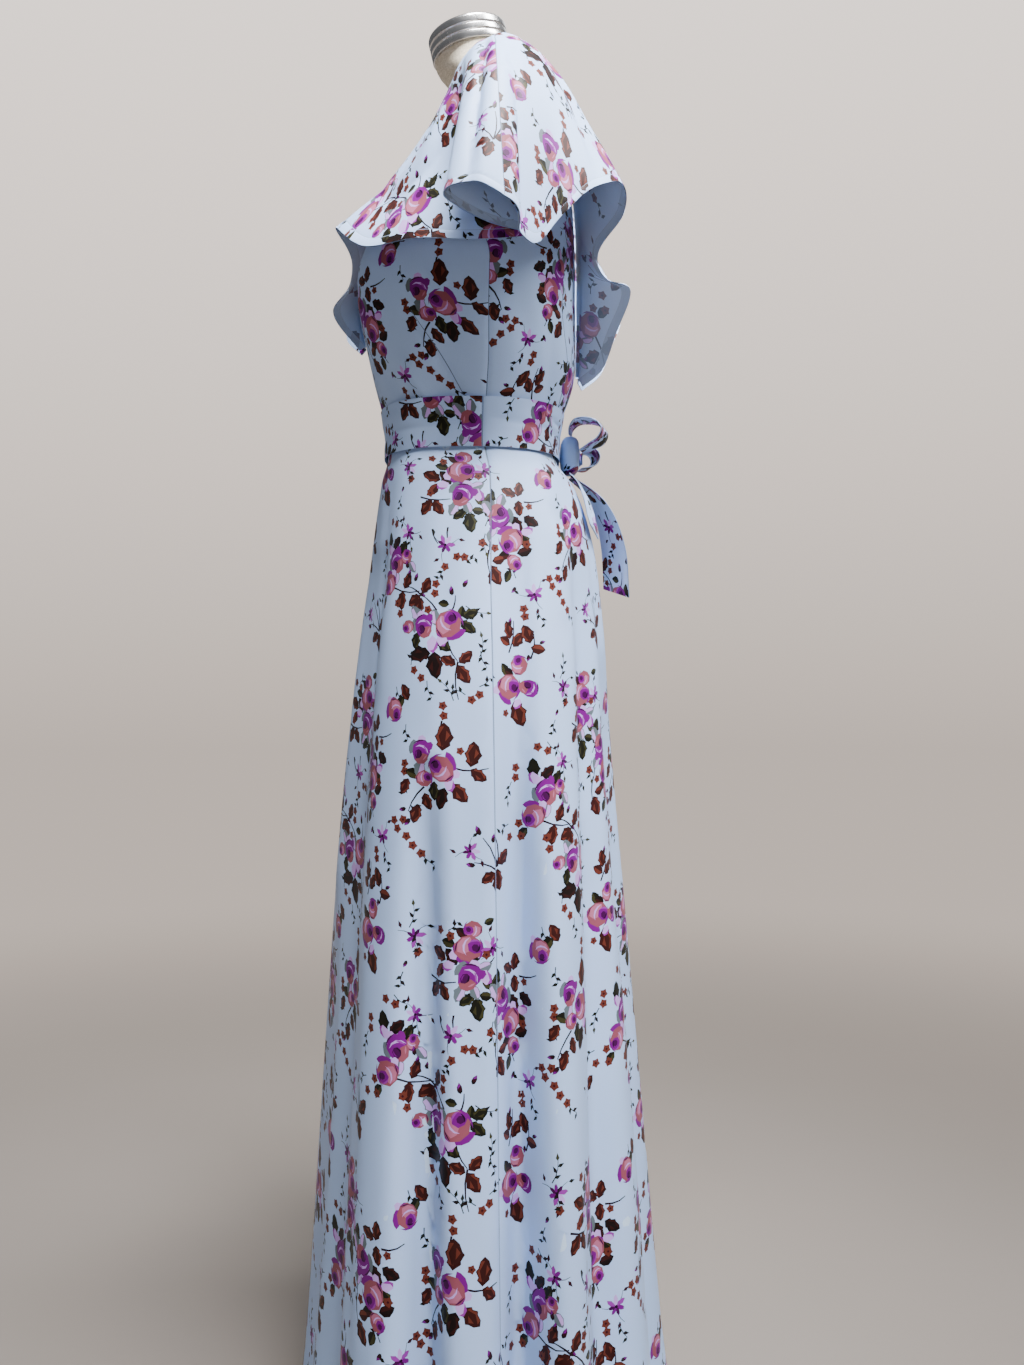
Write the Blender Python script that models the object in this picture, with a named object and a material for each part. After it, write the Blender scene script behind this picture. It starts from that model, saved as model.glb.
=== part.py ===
"""Maxi dress with V neck flounces and a tied belt, standing on a limbless dress form.

Metres, +Z up. The dress faces -Y and the wearer's left is +X. The origin is on the floor, under
the middle of the stand's base. Each cloth piece is a wall between an outer grid of points and the
same grid moved in by the wall's thickness.
"""
import math
from collections import namedtuple

import bpy
from mathutils import Vector

# Cloth
WALL = 0.0013
SEAM_GAP = 0.0003
LAYER_GAP = 0.0006
NECK_SEAM_GAP = 0.0012
REST_CLEARANCE = 0.0055
FULLNESS = 2.35
CHEST_FULLNESS = 1.85

# Heights on the dress
HEM_HEIGHT = 0.030
WAIST_HEIGHT = 1.090
UNDERARM_HEIGHT = 1.300
FRONT_V_HEIGHT = 1.200
BACK_V_HEIGHT = 1.165
SHOULDER_LOW = 1.410
SHOULDER_TOP = 1.500

# Widths on the bodice
NECK_WIDTH = 0.085
STRAP_WIDTH = 0.150
ARMHOLE_SCOOP = 0.030
BUST_WIDTH = 0.085
BUST_HEIGHT = 1.245
BUST_DEPTH = 0.0145
BUST_SPREAD = 0.042
BUST_RISE = 0.050
BUST_FALL = 0.070
SIDE_SEAM_ANGLE = 98.0
SIDE_SEAM_EASE = 0.05

# Form and stand
CAP_RADIUS = 0.0435
CAP_HEIGHT = 0.027
CAP_TILT = math.radians(13.0)
NECK_TOP = Vector((0.0, 0.0, 1.518))
POLE_RADIUS = 0.014
BASE_RADIUS = 0.180
BASE_THICKNESS = 0.012
FORM_BOTTOM = 0.780

# Belt
BELT_HEIGHT = 1.0955
BELT_WIDTH = 0.050
BELT_SIDE_DROP = 0.004
BELT_SEAM_ANGLE = 96.0
KNOT_HALF = Vector((0.023, 0.011, 0.021))
KNOT_DROP = 0.017

Section = namedtuple("Section", "height half_width front side back")
BODICE = [
    Section(1.070, 0.1215, -0.0895, 0.000, 0.0905),
    Section(1.090, 0.1215, -0.0895, 0.000, 0.0905),
    Section(1.110, 0.1225, -0.0915, 0.000, 0.0935),
    Section(1.125, 0.1255, -0.0965, 0.000, 0.0995),
    Section(1.160, 0.1335, -0.1055, 0.000, 0.1105),
    Section(1.200, 0.1415, -0.1120, 0.000, 0.1115),
    Section(1.240, 0.1475, -0.1125, 0.001, 0.1115),
    Section(1.280, 0.1515, -0.1090, 0.003, 0.1115),
    Section(1.340, 0.1570, -0.0860, 0.006, 0.1095),
    Section(1.380, 0.1620, -0.0590, 0.010, 0.1055),
    Section(1.420, 0.1605, -0.0350, 0.018, 0.0965),
    Section(1.445, 0.1490, -0.0240, 0.026, 0.0875),
    Section(1.465, 0.1245, -0.0190, 0.029, 0.0785),
    Section(1.480, 0.0962, -0.0210, 0.0275, 0.0705),
    Section(1.492, 0.0705, -0.0250, 0.0215, 0.0635),
]

SKIRT = [
    Section(HEM_HEIGHT, 0.345, -0.192, 0.012, 0.221),
    Section(0.150, 0.322, -0.181, 0.012, 0.207),
    Section(0.370, 0.284, -0.166, 0.011, 0.188),
    Section(0.590, 0.245, -0.150, 0.010, 0.169),
    Section(0.766, 0.214, -0.133, 0.008, 0.153),
    Section(0.876, 0.193, -0.120, 0.006, 0.145),
    Section(0.964, 0.172, -0.107, 0.004, 0.135),
    Section(1.010, 0.157, -0.1015, 0.003, 0.124),
    Section(1.045, 0.141, -0.0970, 0.002, 0.109),
    Section(1.066, 0.1245, -0.0912, 0.000, 0.0925),
    Section(WAIST_HEIGHT, 0.1215, -0.0895, 0.000, 0.0905),
]

Figure = namedtuple("Figure", "height half_width front side back lean")
FORM = [
    Figure(0.780, 0.148, -0.078, 0.012, 0.103, 0.0),
    Figure(0.790, 0.156, -0.086, 0.012, 0.111, 0.0),
    Figure(0.830, 0.164, -0.093, 0.012, 0.121, 0.0),
    Figure(0.900, 0.166, -0.096, 0.012, 0.126, 0.0),
    Figure(1.000, 0.144, -0.090, 0.010, 0.111, 0.0),
    Figure(1.060, 0.1215, -0.0855, 0.004, 0.0900, 0.0),
    Figure(1.100, 0.1175, -0.0855, 0.000, 0.0865, 0.0),
    Figure(1.160, 0.1270, -0.0985, 0.000, 0.1010, 0.0),
    Figure(1.200, 0.1345, -0.1050, 0.000, 0.1045, 0.0),
    Figure(1.240, 0.1400, -0.1060, 0.001, 0.1055, 0.0),
    Figure(1.280, 0.1445, -0.1010, 0.003, 0.1055, 0.0),
    Figure(1.340, 0.1515, -0.0805, 0.006, 0.1040, 0.0),
    Figure(1.380, 0.1570, -0.0545, 0.010, 0.1010, 0.0),
    Figure(1.420, 0.1560, -0.0305, 0.018, 0.0920, 0.0),
    Figure(1.445, 0.1445, -0.0195, 0.026, 0.0830, 0.0),
    Figure(1.465, 0.1200, -0.0145, 0.029, 0.0740, 0.01),
    Figure(1.480, 0.0918, -0.0165, 0.0265, 0.0640, 0.05),
    Figure(1.490, 0.0665, -0.0225, 0.0195, 0.0570, 0.12),
    Figure(1.499, 0.0500, -0.0310, 0.0100, 0.0510, 0.18),
    Figure(1.508, 0.0425, -0.0375, 0.0035, 0.0445, 0.22),
    Figure(1.518, 0.0405, -0.0405, 0.000, 0.0405, math.tan(CAP_TILT)),
]

# The belt's outer face from its lower edge (-1) to its upper edge (1)
Band = namedtuple("Band", "rise half_width front side back")
BELT = [
    Band(-1.0, 0.1275, -0.0947, 0.000, 0.0962),
    Band(0.0, 0.1268, -0.0950, 0.000, 0.0970),
    Band(1.0, 0.1292, -0.0985, 0.000, 0.1012),
]

# Troughs between the skirt's flutes: angles run from the front (0) by the wearer's left (90) to
# the back (180), in degrees
Trough = namedtuple("Trough", "hem_angle top_angle half_angle depth top_height")
TROUGHS = [
    Trough(12.0, 14.0, 8.0, 0.014, 0.62),
    Trough(35.0, 30.0, 12.0, 0.028, 0.97),
    Trough(75.0, 71.0, 6.5, 0.028, 0.76),
    Trough(103.0, 109.0, 7.5, 0.034, 1.00),
    Trough(131.0, 147.0, 8.0, 0.034, 0.98),
    Trough(163.0, 166.0, 9.0, 0.026, 0.86),
    Trough(193.0, 190.0, 8.5, 0.028, 0.92),
    Trough(221.0, 212.0, 8.0, 0.033, 0.98),
    Trough(250.0, 246.0, 7.0, 0.030, 0.90),
    Trough(279.0, 284.0, 8.0, 0.034, 0.99),
    Trough(306.0, 311.0, 9.0, 0.028, 0.78),
    Trough(334.0, 331.0, 9.5, 0.027, 0.90),
]

# Turns of the left flounce's hem, from the centre front over the shoulder to the centre back
Turn = namedtuple("Turn", "along x y z")
HEM_TURNS = [
    Turn(0.000, 0.010, -0.122, 1.192),
    Turn(0.060, 0.050, -0.145, 1.222),
    Turn(0.110, 0.037, -0.130, 1.256),
    Turn(0.160, 0.047, -0.127, 1.281),
    Turn(0.270, 0.088, -0.137, 1.298),
    Turn(0.335, 0.150, -0.100, 1.258),
    Turn(0.385, 0.177, -0.044, 1.257),
    Turn(0.415, 0.174, 0.006, 1.257),
    Turn(0.429, 0.167, 0.050, 1.262),
    Turn(0.439, 0.176, 0.060, 1.263),
    Turn(0.453, 0.202, 0.020, 1.265),
    Turn(0.467, 0.231, -0.018, 1.278),
    Turn(0.484, 0.250, 0.008, 1.284),
    Turn(0.500, 0.2505, 0.037, 1.270),
    Turn(0.515, 0.240, 0.049, 1.262),
    Turn(0.532, 0.224, 0.052, 1.247),
    Turn(0.552, 0.211, 0.067, 1.2405),
    Turn(0.580, 0.204, 0.090, 1.268),
    Turn(0.620, 0.188, 0.119, 1.300),
    Turn(0.665, 0.156, 0.150, 1.318),
    Turn(0.730, 0.104, 0.157, 1.307),
    Turn(0.790, 0.066, 0.134, 1.281),
    Turn(0.840, 0.066, 0.143, 1.252),
    Turn(0.880, 0.056, 0.169, 1.244),
    Turn(0.930, 0.028, 0.156, 1.205),
    Turn(0.970, 0.016, 0.142, 1.170),
    Turn(1.000, 0.010, 0.121, 1.153),
]

# The same hem with its flutes smoothed out, and how the cloth leaves the neck edge towards it:
# its lift off the body in degrees, the share of the way that it keeps to, and how late its
# flutes open
Course = namedtuple("Course", "along x y z lift reach growth")
HEM_COURSE = [
    Course(0.00, 0.010, -0.122, 1.192, 3.0, 0.40, 1.5),
    Course(0.12, 0.046, -0.133, 1.254, 0.0, 0.38, 1.5),
    Course(0.27, 0.108, -0.120, 1.284, -8.0, 0.34, 1.8),
    Course(0.36, 0.165, -0.070, 1.265, -12.0, 0.38, 2.2),
    Course(0.44, 0.202, -0.010, 1.264, 12.0, 0.48, 3.0),
    Course(0.50, 0.225, 0.026, 1.268, 18.0, 0.50, 2.2),
    Course(0.60, 0.192, 0.092, 1.275, 30.0, 0.47, 1.6),
    Course(0.71, 0.124, 0.145, 1.298, 34.0, 0.45, 1.6),
    Course(0.80, 0.072, 0.138, 1.270, 24.0, 0.42, 1.5),
    Course(0.88, 0.050, 0.150, 1.236, 18.0, 0.40, 1.5),
    Course(0.95, 0.022, 0.145, 1.190, 14.0, 0.40, 1.5),
    Course(1.00, 0.010, 0.121, 1.153, 14.0, 0.40, 1.5),
]

FLOUNCE_DEPTHS = (0.0, 0.08, 0.18, 0.28, 0.39, 0.51, 0.64, 0.77, 0.89, 1.0)
FLOUNCE_STEPS = 2
RIGHT_FLUTES = 0.88
CENTRE_CLEARANCE = 0.003
NECK_STEPS = 20

# Ways of the belt's ends: height, how far across, how far off the skirt, and the turn of the
# width about the vertical in degrees
Fall = namedtuple("Fall", "height across off turn width")
LEFT_END = [
    Fall(0.990, 0.050, 0.0065, -17.0, 0.038),
    Fall(1.024, 0.038, 0.0080, -14.0, 0.034),
    Fall(1.0565, 0.013, 0.0076, -6.0, 0.020),
]
RIGHT_END = [
    Fall(0.929, -0.014, 0.020, 33.0, 0.046),
    Fall(0.985, -0.013, 0.024, 30.0, 0.044),
    Fall(1.030, -0.013, 0.022, 22.0, 0.034),
    Fall(1.0565, -0.013, 0.0090, 6.0, 0.020),
]

# The way of a bow loop's ribbon, from the knot out over its top and back in below: out from the
# knot, up from its middle, across to the loop's own side, and the ribbon's width
Way = namedtuple("Way", "along out up across width")
LOOP_WAY = [
    Way(0.0, 0.006, 0.0214, 0.0075, 0.014),
    Way(1.0, 0.007, 0.0280, 0.0120, 0.022),
    Way(2.0, 0.013, 0.0335, 0.0190, 0.034),
    Way(3.0, 0.025, 0.0340, 0.0235, 0.040),
    Way(4.0, 0.036, 0.0300, 0.0260, 0.042),
    Way(5.0, 0.041, 0.0220, 0.0275, 0.042),
    Way(6.0, 0.037, 0.0130, 0.0270, 0.042),
    Way(7.0, 0.028, 0.0080, 0.0230, 0.036),
    Way(8.0, 0.0172, 0.0040, 0.0120, 0.022),
]

# The bow's loops: side, length, the turn of the width, and how far the way is lowered and shifted
# out where it starts and where it ends
Loop = namedtuple("Loop", "side reach turn start_lower end_lower start_shift end_shift")
LOOPS = {
    "bow_loop_left": Loop(1.0, 1.00, 14.0, 0.000, 0.000, 0.0000, 0.0000),
    "bow_loop_right": Loop(-1.0, 0.62, 10.0, 0.030, 0.016, 0.0148, 0.0060),
}

Finish = namedtuple("Finish", "colour roughness metallic")
FINISHES = {
    "printed_crepe": Finish((0.60, 0.70, 0.80), 0.55, 0.0),
    "linen": Finish((0.60, 0.54, 0.44), 0.85, 0.0),
    "chrome": Finish((0.62, 0.62, 0.63), 0.22, 1.0),
    "painted_steel": Finish((0.78, 0.77, 0.75), 0.45, 0.0),
}


def clear_scene():
    for item in list(bpy.data.objects):
        bpy.data.objects.remove(item, do_unlink=True)


def material(name, finish_name):
    """The piece's own Principled material, in one of the finishes."""
    finish = FINISHES[finish_name]
    made = bpy.data.materials.new(name)
    made.use_nodes = True
    shader = made.node_tree.nodes["Principled BSDF"]
    shader.inputs["Base Color"].default_value = (*finish.colour, 1.0)
    shader.inputs["Roughness"].default_value = finish.roughness
    shader.inputs["Metallic"].default_value = finish.metallic
    return made


def at(rows, key):
    """A row between a table's rows, on smooth curves through them; the first column is the key."""
    keys = [row[0] for row in rows]
    last = len(rows) - 1
    low = max(i for i in range(last) if i == 0 or keys[i] <= key)
    span = keys[low + 1] - keys[low]
    share = (key - keys[low]) / span

    def slope(index, column):
        before = max(index - 1, 0)
        after = min(index + 1, last)
        return (rows[after][column] - rows[before][column]) / (keys[after] - keys[before])

    values = [key]
    for column in range(1, len(rows[0])):
        start = rows[low][column]
        end = rows[low + 1][column]
        if 0.0 <= share <= 1.0:
            squared = share * share
            cubed = squared * share
            value = (2 * cubed - 3 * squared + 1) * start
            value += (cubed - 2 * squared + share) * span * slope(low, column)
            value += (3 * squared - 2 * cubed) * end
            value += (cubed - squared) * span * slope(low + 1, column)
        else:
            value = start + (end - start) * share
        values.append(value)
    return type(rows[0])(*values)


def mix(start, end, share):
    return start + (end - start) * share


def ease(share):
    share = min(max(share, 0.0), 1.0)
    return share * share * (3.0 - 2.0 * share)


def spread(start, end, count):
    return [mix(start, end, step / count) for step in range(count + 1)]


def signed_power(value, power):
    return math.copysign(abs(value) ** power, value)


def fullness_at(height):
    """How square a section is: squarer at the waist than across the shoulders."""
    return mix(FULLNESS, CHEST_FULLNESS, ease((height - 1.30) / 0.10))


def bust(x, height):
    """How far the bust stands forward of the plain section."""
    fall = BUST_RISE if height > BUST_HEIGHT else BUST_FALL
    across = (abs(x) - BUST_WIDTH) / BUST_SPREAD
    up = (height - BUST_HEIGHT) / fall
    return BUST_DEPTH * math.exp(-across * across - up * up)


def section_point(section, angle, fullness=None):
    """A point on a level section; angle 0 is the front and 90 the wearer's left."""
    turn = math.radians(angle)
    fullness = fullness or fullness_at(section.height)
    across = signed_power(math.sin(turn), 2.0 / fullness)
    forward = signed_power(math.cos(turn), 2.0 / fullness)
    reach = section.side - section.front if forward > 0 else section.back - section.side
    x = section.half_width * across
    y = section.side - reach * forward
    if forward > 0:
        y -= bust(x, section.height) * min(1.0, 3.0 * forward)
    return Vector((x, y, section.height))


def branch_point(rows, x, height, front):
    """The front or back point of a section at one distance across."""
    section = at(rows, height)
    ratio = min(abs(x) / section.half_width, 1.0)
    fullness = fullness_at(height)
    forward = (1.0 - ratio ** fullness) ** (1.0 / fullness)
    reach = section.side - section.front if front else section.side - section.back
    y = section.side - reach * forward
    if front:
        y -= bust(x, height) * min(1.0, 3.0 * forward)
    return Vector((x, y, height))


def ridge_height(rows, x):
    """The height at which the shoulder line is this far across."""
    low = SHOULDER_LOW
    high = SHOULDER_TOP
    for _ in range(40):
        middle = 0.5 * (low + high)
        if at(rows, middle).half_width > x:
            low = middle
        else:
            high = middle
    return 0.5 * (low + high)


def new_object(name, points, faces, finish):
    """A mesh object from its points and faces, with its faces turned out."""
    volume = sum(points[a].dot(points[b].cross(points[c])) for a, b, c in faces)
    if volume < 0.0:
        faces = [(a, c, b) for a, b, c in faces]
    mesh = bpy.data.meshes.new(name)
    mesh.from_pydata([tuple(point) for point in points], [], faces)
    mesh.materials.append(material(name, finish))
    mesh.shade_smooth()
    mesh.set_sharp_from_angle(angle=math.radians(50.0))
    item = bpy.data.objects.new(name, mesh)
    bpy.context.scene.collection.objects.link(item)
    return item


def grid_normals(grid, edges):
    """Normals of a grid of points. Along an edge that meets a seam the normal lies in the seam."""
    rows = len(grid)
    columns = len(grid[0])
    normals = []
    for i in range(rows):
        line = []
        for j in range(columns):
            along = grid[i][min(j + 1, columns - 1)] - grid[i][max(j - 1, 0)]
            down = grid[min(i + 1, rows - 1)][j] - grid[max(i - 1, 0)][j]
            normal = along.cross(down).normalized()
            places = {"first_row": i == 0, "last_row": i == rows - 1,
                      "first_column": j == 0, "last_column": j == columns - 1}
            for place, axis in edges.items():
                if places[place]:
                    normal = (normal - axis * normal.dot(axis)).normalized()
            line.append(normal)
        normals.append(line)
    return normals


def wall(name, grid, side, edges=None, thickness=WALL, finish="printed_crepe"):
    """A cloth wall: an outer grid, the grid moved in by the thickness, and a rim round both."""
    rows = len(grid)
    columns = len(grid[0])
    normals = grid_normals(grid, edges or {})
    outer = [point for line in grid for point in line]
    inner = [grid[i][j] - normals[i][j] * (thickness * side) for i in range(rows) for j in range(columns)]
    shift = len(outer)
    faces = []
    for i in range(rows - 1):
        for j in range(columns - 1):
            a = i * columns + j
            b = a + 1
            c = a + columns
            d = c + 1
            faces += [(a, b, d), (a, d, c)]
            faces += [(a + shift, d + shift, b + shift), (a + shift, c + shift, d + shift)]
    border = [j for j in range(columns)]
    border += [i * columns + columns - 1 for i in range(1, rows)]
    border += [(rows - 1) * columns + j for j in range(columns - 2, -1, -1)]
    border += [i * columns for i in range(rows - 2, 0, -1)]
    for start, end in zip(border, border[1:] + border[:1]):
        faces += [(start, end + shift, end), (start, start + shift, end + shift)]
    return new_object(name, outer + inner, faces, finish)


def turned(name, profile, finish, segments=32):
    """A closed body turned about its own Z axis, from (radius, height) rows, bottom to top."""
    points = [Vector((0.0, 0.0, profile[0][1]))]
    for radius, height in profile:
        for step in range(segments):
            turn = 2.0 * math.pi * step / segments
            points.append(Vector((radius * math.cos(turn), radius * math.sin(turn), height)))
    points.append(Vector((0.0, 0.0, profile[-1][1])))
    top = len(points) - 1
    faces = []
    for step in range(segments):
        after = (step + 1) % segments
        faces.append((0, 1 + after, 1 + step))
        for ring in range(len(profile) - 1):
            a = 1 + ring * segments + step
            b = 1 + ring * segments + after
            faces += [(a, b, b + segments), (a, b + segments, a + segments)]
        last = 1 + (len(profile) - 1) * segments
        faces.append((top, last + step, last + after))
    return new_object(name, points, faces, finish)


def side_seam_angle(height):
    """The bodice's side seam leaves the underarm and runs a little behind the middle."""
    share = ease((UNDERARM_HEIGHT - height) / SIDE_SEAM_EASE)
    return mix(90.0, SIDE_SEAM_ANGLE, share)


def neck_edge_x(height, front):
    """How far across the V neck's edge is at one height."""
    point = FRONT_V_HEIGHT if front else BACK_V_HEIGHT
    top = ridge_height(BODICE, NECK_WIDTH)
    return NECK_WIDTH * max(0.0, (height - point) / (top - point))


def bodice_panel(front):
    """Grid of the left front or back panel, waist to shoulder, centre to side."""
    columns = 10
    middle = 0.0 if front else 180.0
    half_gap = SEAM_GAP / 2
    grid = []
    heights = spread(WAIST_HEIGHT + half_gap, BACK_V_HEIGHT, 2)
    heights += spread(FRONT_V_HEIGHT, UNDERARM_HEIGHT, 3)
    for height in heights:
        section = at(BODICE, height)
        edge = neck_edge_x(height, front) / section.half_width
        start = math.degrees(math.asin(edge ** (FULLNESS / 2.0)))
        start = middle + start if front else middle - start
        line = [section_point(section, mix(start, side_seam_angle(height), step / columns))
                for step in range(columns + 1)]
        line[0].x = max(line[0].x, half_gap)
        line[-1].y += -half_gap if front else half_gap
        grid.append(line)
    below = grid[-1]
    shares = [(point.x - below[0].x) / (below[-1].x - below[0].x) for point in below]
    tops = [ridge_height(BODICE, mix(NECK_WIDTH, STRAP_WIDTH, share)) for share in shares]
    for rise in spread(0.0, 1.0, 7)[1:]:
        climb = math.sin(rise * math.pi / 2.0)
        outside = mix(below[-1].x, STRAP_WIDTH, rise) - ARMHOLE_SCOOP * math.sin(math.pi * rise)
        inside = neck_edge_x(mix(UNDERARM_HEIGHT, tops[0], climb), front)
        line = []
        for share, top in zip(shares, tops):
            height = mix(UNDERARM_HEIGHT, top, climb)
            line.append(branch_point(BODICE, mix(inside, outside, share), height, front))
        grid.append(line)
    for point in grid[-1]:
        point.y += -half_gap if front else half_gap
    return grid


def mirrored(grid):
    return [[Vector((-point.x, point.y, point.z)) for point in line] for line in grid]


def build_bodice():
    edges = {"first_row": Vector((0, 0, 1)), "last_row": Vector((0, 1, 0)),
             "last_column": Vector((0, 1, 0))}
    for front, word in ((True, "front"), (False, "back")):
        grid = bodice_panel(front)
        side = -1.0 if front else 1.0
        wall(f"bodice_{word}_left", grid, side, edges)
        wall(f"bodice_{word}_right", mirrored(grid), -side, edges)


def trough_depth(angle, height):
    """How far the skirt's surface lies inside its flutes' crests."""
    depth = 0.0
    for trough in TROUGHS:
        if height >= trough.top_height:
            continue
        share = (trough.top_height - height) / (trough.top_height - HEM_HEIGHT)
        centre = mix(trough.top_angle, trough.hem_angle, share)
        off = (angle - centre + 180.0) % 360.0 - 180.0
        bell = math.exp(-(off / trough.half_angle) ** 2)
        depth += trough.depth * share ** 0.8 * bell
    return depth


def skirt_point(angle, height):
    section = at(SKIRT, height)
    fullness = mix(2.0, FULLNESS, ease((height - 0.9) / (WAIST_HEIGHT - 0.9)))
    point = section_point(section, angle, fullness)
    away = Vector((point.x, point.y - section.side, 0.0)).normalized()
    return point - away * trough_depth(angle % 360.0, height)


def skirt_y(x, height):
    """The back of the skirt at one distance across."""
    section = at(SKIRT, height)
    angle = 180.0 - math.degrees(math.asin(min(abs(x) / section.half_width, 1.0)))
    return skirt_point(angle if x > 0 else 360.0 - angle, height).y


def build_skirt():
    half_gap = SEAM_GAP / 2
    low = spread(HEM_HEIGHT, 0.90, 8)
    heights = low + spread(0.95, 1.045, 2) + [1.058, 1.070, WAIST_HEIGHT - half_gap]
    panels = (
        ("skirt_front", -SIDE_SEAM_ANGLE, SIDE_SEAM_ANGLE, 46, Vector((0, 1, 0)), Vector((0, 1, 0))),
        ("skirt_back_left", SIDE_SEAM_ANGLE, 180.0, 20, Vector((0, 1, 0)), Vector((1, 0, 0))),
        ("skirt_back_right", 180.0, 360.0 - SIDE_SEAM_ANGLE, 20, Vector((1, 0, 0)), Vector((0, 1, 0))),
    )
    for name, start, end, steps, first_axis, last_axis in panels:
        grid = []
        for height in heights:
            line = [skirt_point(angle, height) for angle in spread(start, end, steps)]
            line[0] += (line[1] - line[0]).project(first_axis).normalized() * half_gap
            line[-1] += (line[-2] - line[-1]).project(last_axis).normalized() * half_gap
            grid.append(line)
        edges = {"first_column": first_axis, "last_column": last_axis, "last_row": Vector((0, 0, 1))}
        wall(name, grid, 1.0, edges)


def neck_line():
    """Shares and points along the left V edge, from the front over the shoulder to the back."""
    frames = []
    top = ridge_height(BODICE, NECK_WIDTH)
    for front in (True, False):
        low = FRONT_V_HEIGHT if front else BACK_V_HEIGHT
        line = []
        for turn in spread(0.0, math.pi / 2.0, NECK_STEPS):
            height = mix(low, top, math.sin(turn))
            across = max(neck_edge_x(height, front), CENTRE_CLEARANCE)
            line.append(branch_point(BODICE, across, height, front))
        lengths = [0.0]
        for before, after in zip(line, line[1:]):
            lengths.append(lengths[-1] + (after - before).length)
        shares = [length / lengths[-1] * 0.5 for length in lengths]
        if not front:
            line.reverse()
            shares = [1.0 - share for share in reversed(shares)]
        frames += list(zip(shares, line))[(0 if front else 1):]
    return frames


def along_neck(frames, share):
    """The point of the V edge and its direction at one share of its length."""
    index = max(i for i in range(len(frames) - 1) if i == 0 or frames[i][0] <= share)
    before_share, before = frames[index]
    after_share, after = frames[index + 1]
    inside = (share - before_share) / (after_share - before_share)
    wide_before = frames[max(index - 2, 0)][1]
    wide_after = frames[min(index + 3, len(frames) - 1)][1]
    return before.lerp(after, inside), (wide_after - wide_before).normalized()


def outside(point):
    """How far a point lies outside the bodice, on the scale of the bodice's section."""
    section = at(BODICE, min(point.z, BODICE[-1].height + 0.01))
    reach = section.side - section.front if point.y < section.side else section.back - section.side
    fullness = fullness_at(point.z)
    across = (abs(point.x) / section.half_width) ** fullness
    forward = (abs(point.y - section.side) / reach) ** fullness
    return ((across + forward) ** (1.0 / fullness) - 1.0) * min(section.half_width, reach)


def steepest_way(point):
    """The direction in which a point leaves the bodice fastest, as long as its rate."""
    step = 0.001
    return Vector([(outside(point + step * Vector([float(i == axis) for i in range(3)]))
                    - outside(point)) / step for axis in range(3)])


def clear_of_body(point, clearance):
    """The point, pushed out along the steepest way until it is clear of the bodice."""
    for _ in range(4):
        steepest = steepest_way(point)
        short = clearance - outside(point) / steepest.length
        if short <= 0.0:
            break
        point = point + steepest.normalized() * short
    return point


def flounce_point(frames, share, depth, flutes):
    """A point of the left flounce: share runs along the neck edge and depth down to the hem."""
    neck, direction = along_neck(frames, share)
    out = steepest_way(neck)
    out = (out - direction * out.dot(direction)).normalized()
    away = direction.cross(out).normalized()
    away = away if away.x > 0 else -away
    start = neck + out * (WALL + NECK_SEAM_GAP)
    course = at(HEM_COURSE, share)
    hem = Vector((course.x, course.y, course.z))
    turn = Vector(at(HEM_TURNS, share)[1:])
    lift = math.radians(course.lift)
    reach = course.reach * (hem - start).length
    lead = start + (away * math.cos(lift) + out * math.sin(lift)) * reach
    smooth = start * (1 - depth) ** 2 + lead * 2 * depth * (1 - depth) + hem * depth ** 2
    if depth == 0.0:
        return start
    room = mix(WALL + NECK_SEAM_GAP, REST_CLEARANCE, ease(depth / 0.1))
    point = clear_of_body(smooth, room) + (turn - hem) * (flutes * depth ** course.growth)
    return clear_of_body(point, WALL + NECK_SEAM_GAP)


def build_flounces():
    frames = neck_line()
    half_gap = SEAM_GAP / 2
    turns = [turn.along for turn in HEM_TURNS]
    shares = [turns[0]]
    for before, after in zip(turns, turns[1:]):
        shares += [mix(before, after, (step + 1) / FLOUNCE_STEPS) for step in range(FLOUNCE_STEPS)]
    seam = min(shares, key=lambda share: abs(share - 0.5))
    halves = (("front", [share for share in shares if share <= seam]),
              ("back", [share for share in shares if share >= seam]))
    for word, columns in halves:
        front = word == "front"
        edge = "last_column" if front else "first_column"
        for side, flutes in (("left", 1.0), ("right", RIGHT_FLUTES)):
            grid = [[flounce_point(frames, share, depth, flutes) for share in columns]
                    for depth in FLOUNCE_DEPTHS]
            for line in grid:
                line[-1 if front else 0].y += -half_gap if front else half_gap
            if side == "right":
                grid = mirrored(grid)
            wall(f"flounce_{word}_{side}", grid, 1.0 if side == "left" else -1.0,
                 {edge: Vector((0, 1, 0))})


def belt_point(angle, rise):
    """A point of the belt's outer face: rise runs from its lower edge (-1) to its upper (1)."""
    side = abs(math.sin(math.radians(angle)))
    height = BELT_HEIGHT - BELT_SIDE_DROP * side + rise * BELT_WIDTH / 2
    section = at(BELT, rise)
    point = section_point(Section(0.0, *section[1:]), angle)
    return Vector((point.x, point.y, height))


def build_belt():
    half_gap = SEAM_GAP / 2
    knot_angle = 178.6
    pieces = (
        ("belt_front", -BELT_SEAM_ANGLE, BELT_SEAM_ANGLE, 30),
        ("belt_back_left", BELT_SEAM_ANGLE, knot_angle, 14),
        ("belt_back_right", 360.0 - knot_angle, 360.0 - BELT_SEAM_ANGLE, 14),
    )
    across = Vector((0, 1, 0))
    for name, start, end, steps in pieces:
        grid = []
        for rise in (-1.0, -0.3, 0.4, 1.0):
            line = [belt_point(angle, rise) for angle in spread(start, end, steps)]
            line[0] += (line[1] - line[0]).project(across).normalized() * half_gap
            line[-1] += (line[-2] - line[-1]).project(across).normalized() * half_gap
            grid.append(line)
        edges = {"first_column": across, "last_column": across}
        if name != "belt_front":
            edges = {"first_column" if "left" in name else "last_column": across}
        wall(name, grid, 1.0, edges)


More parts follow.
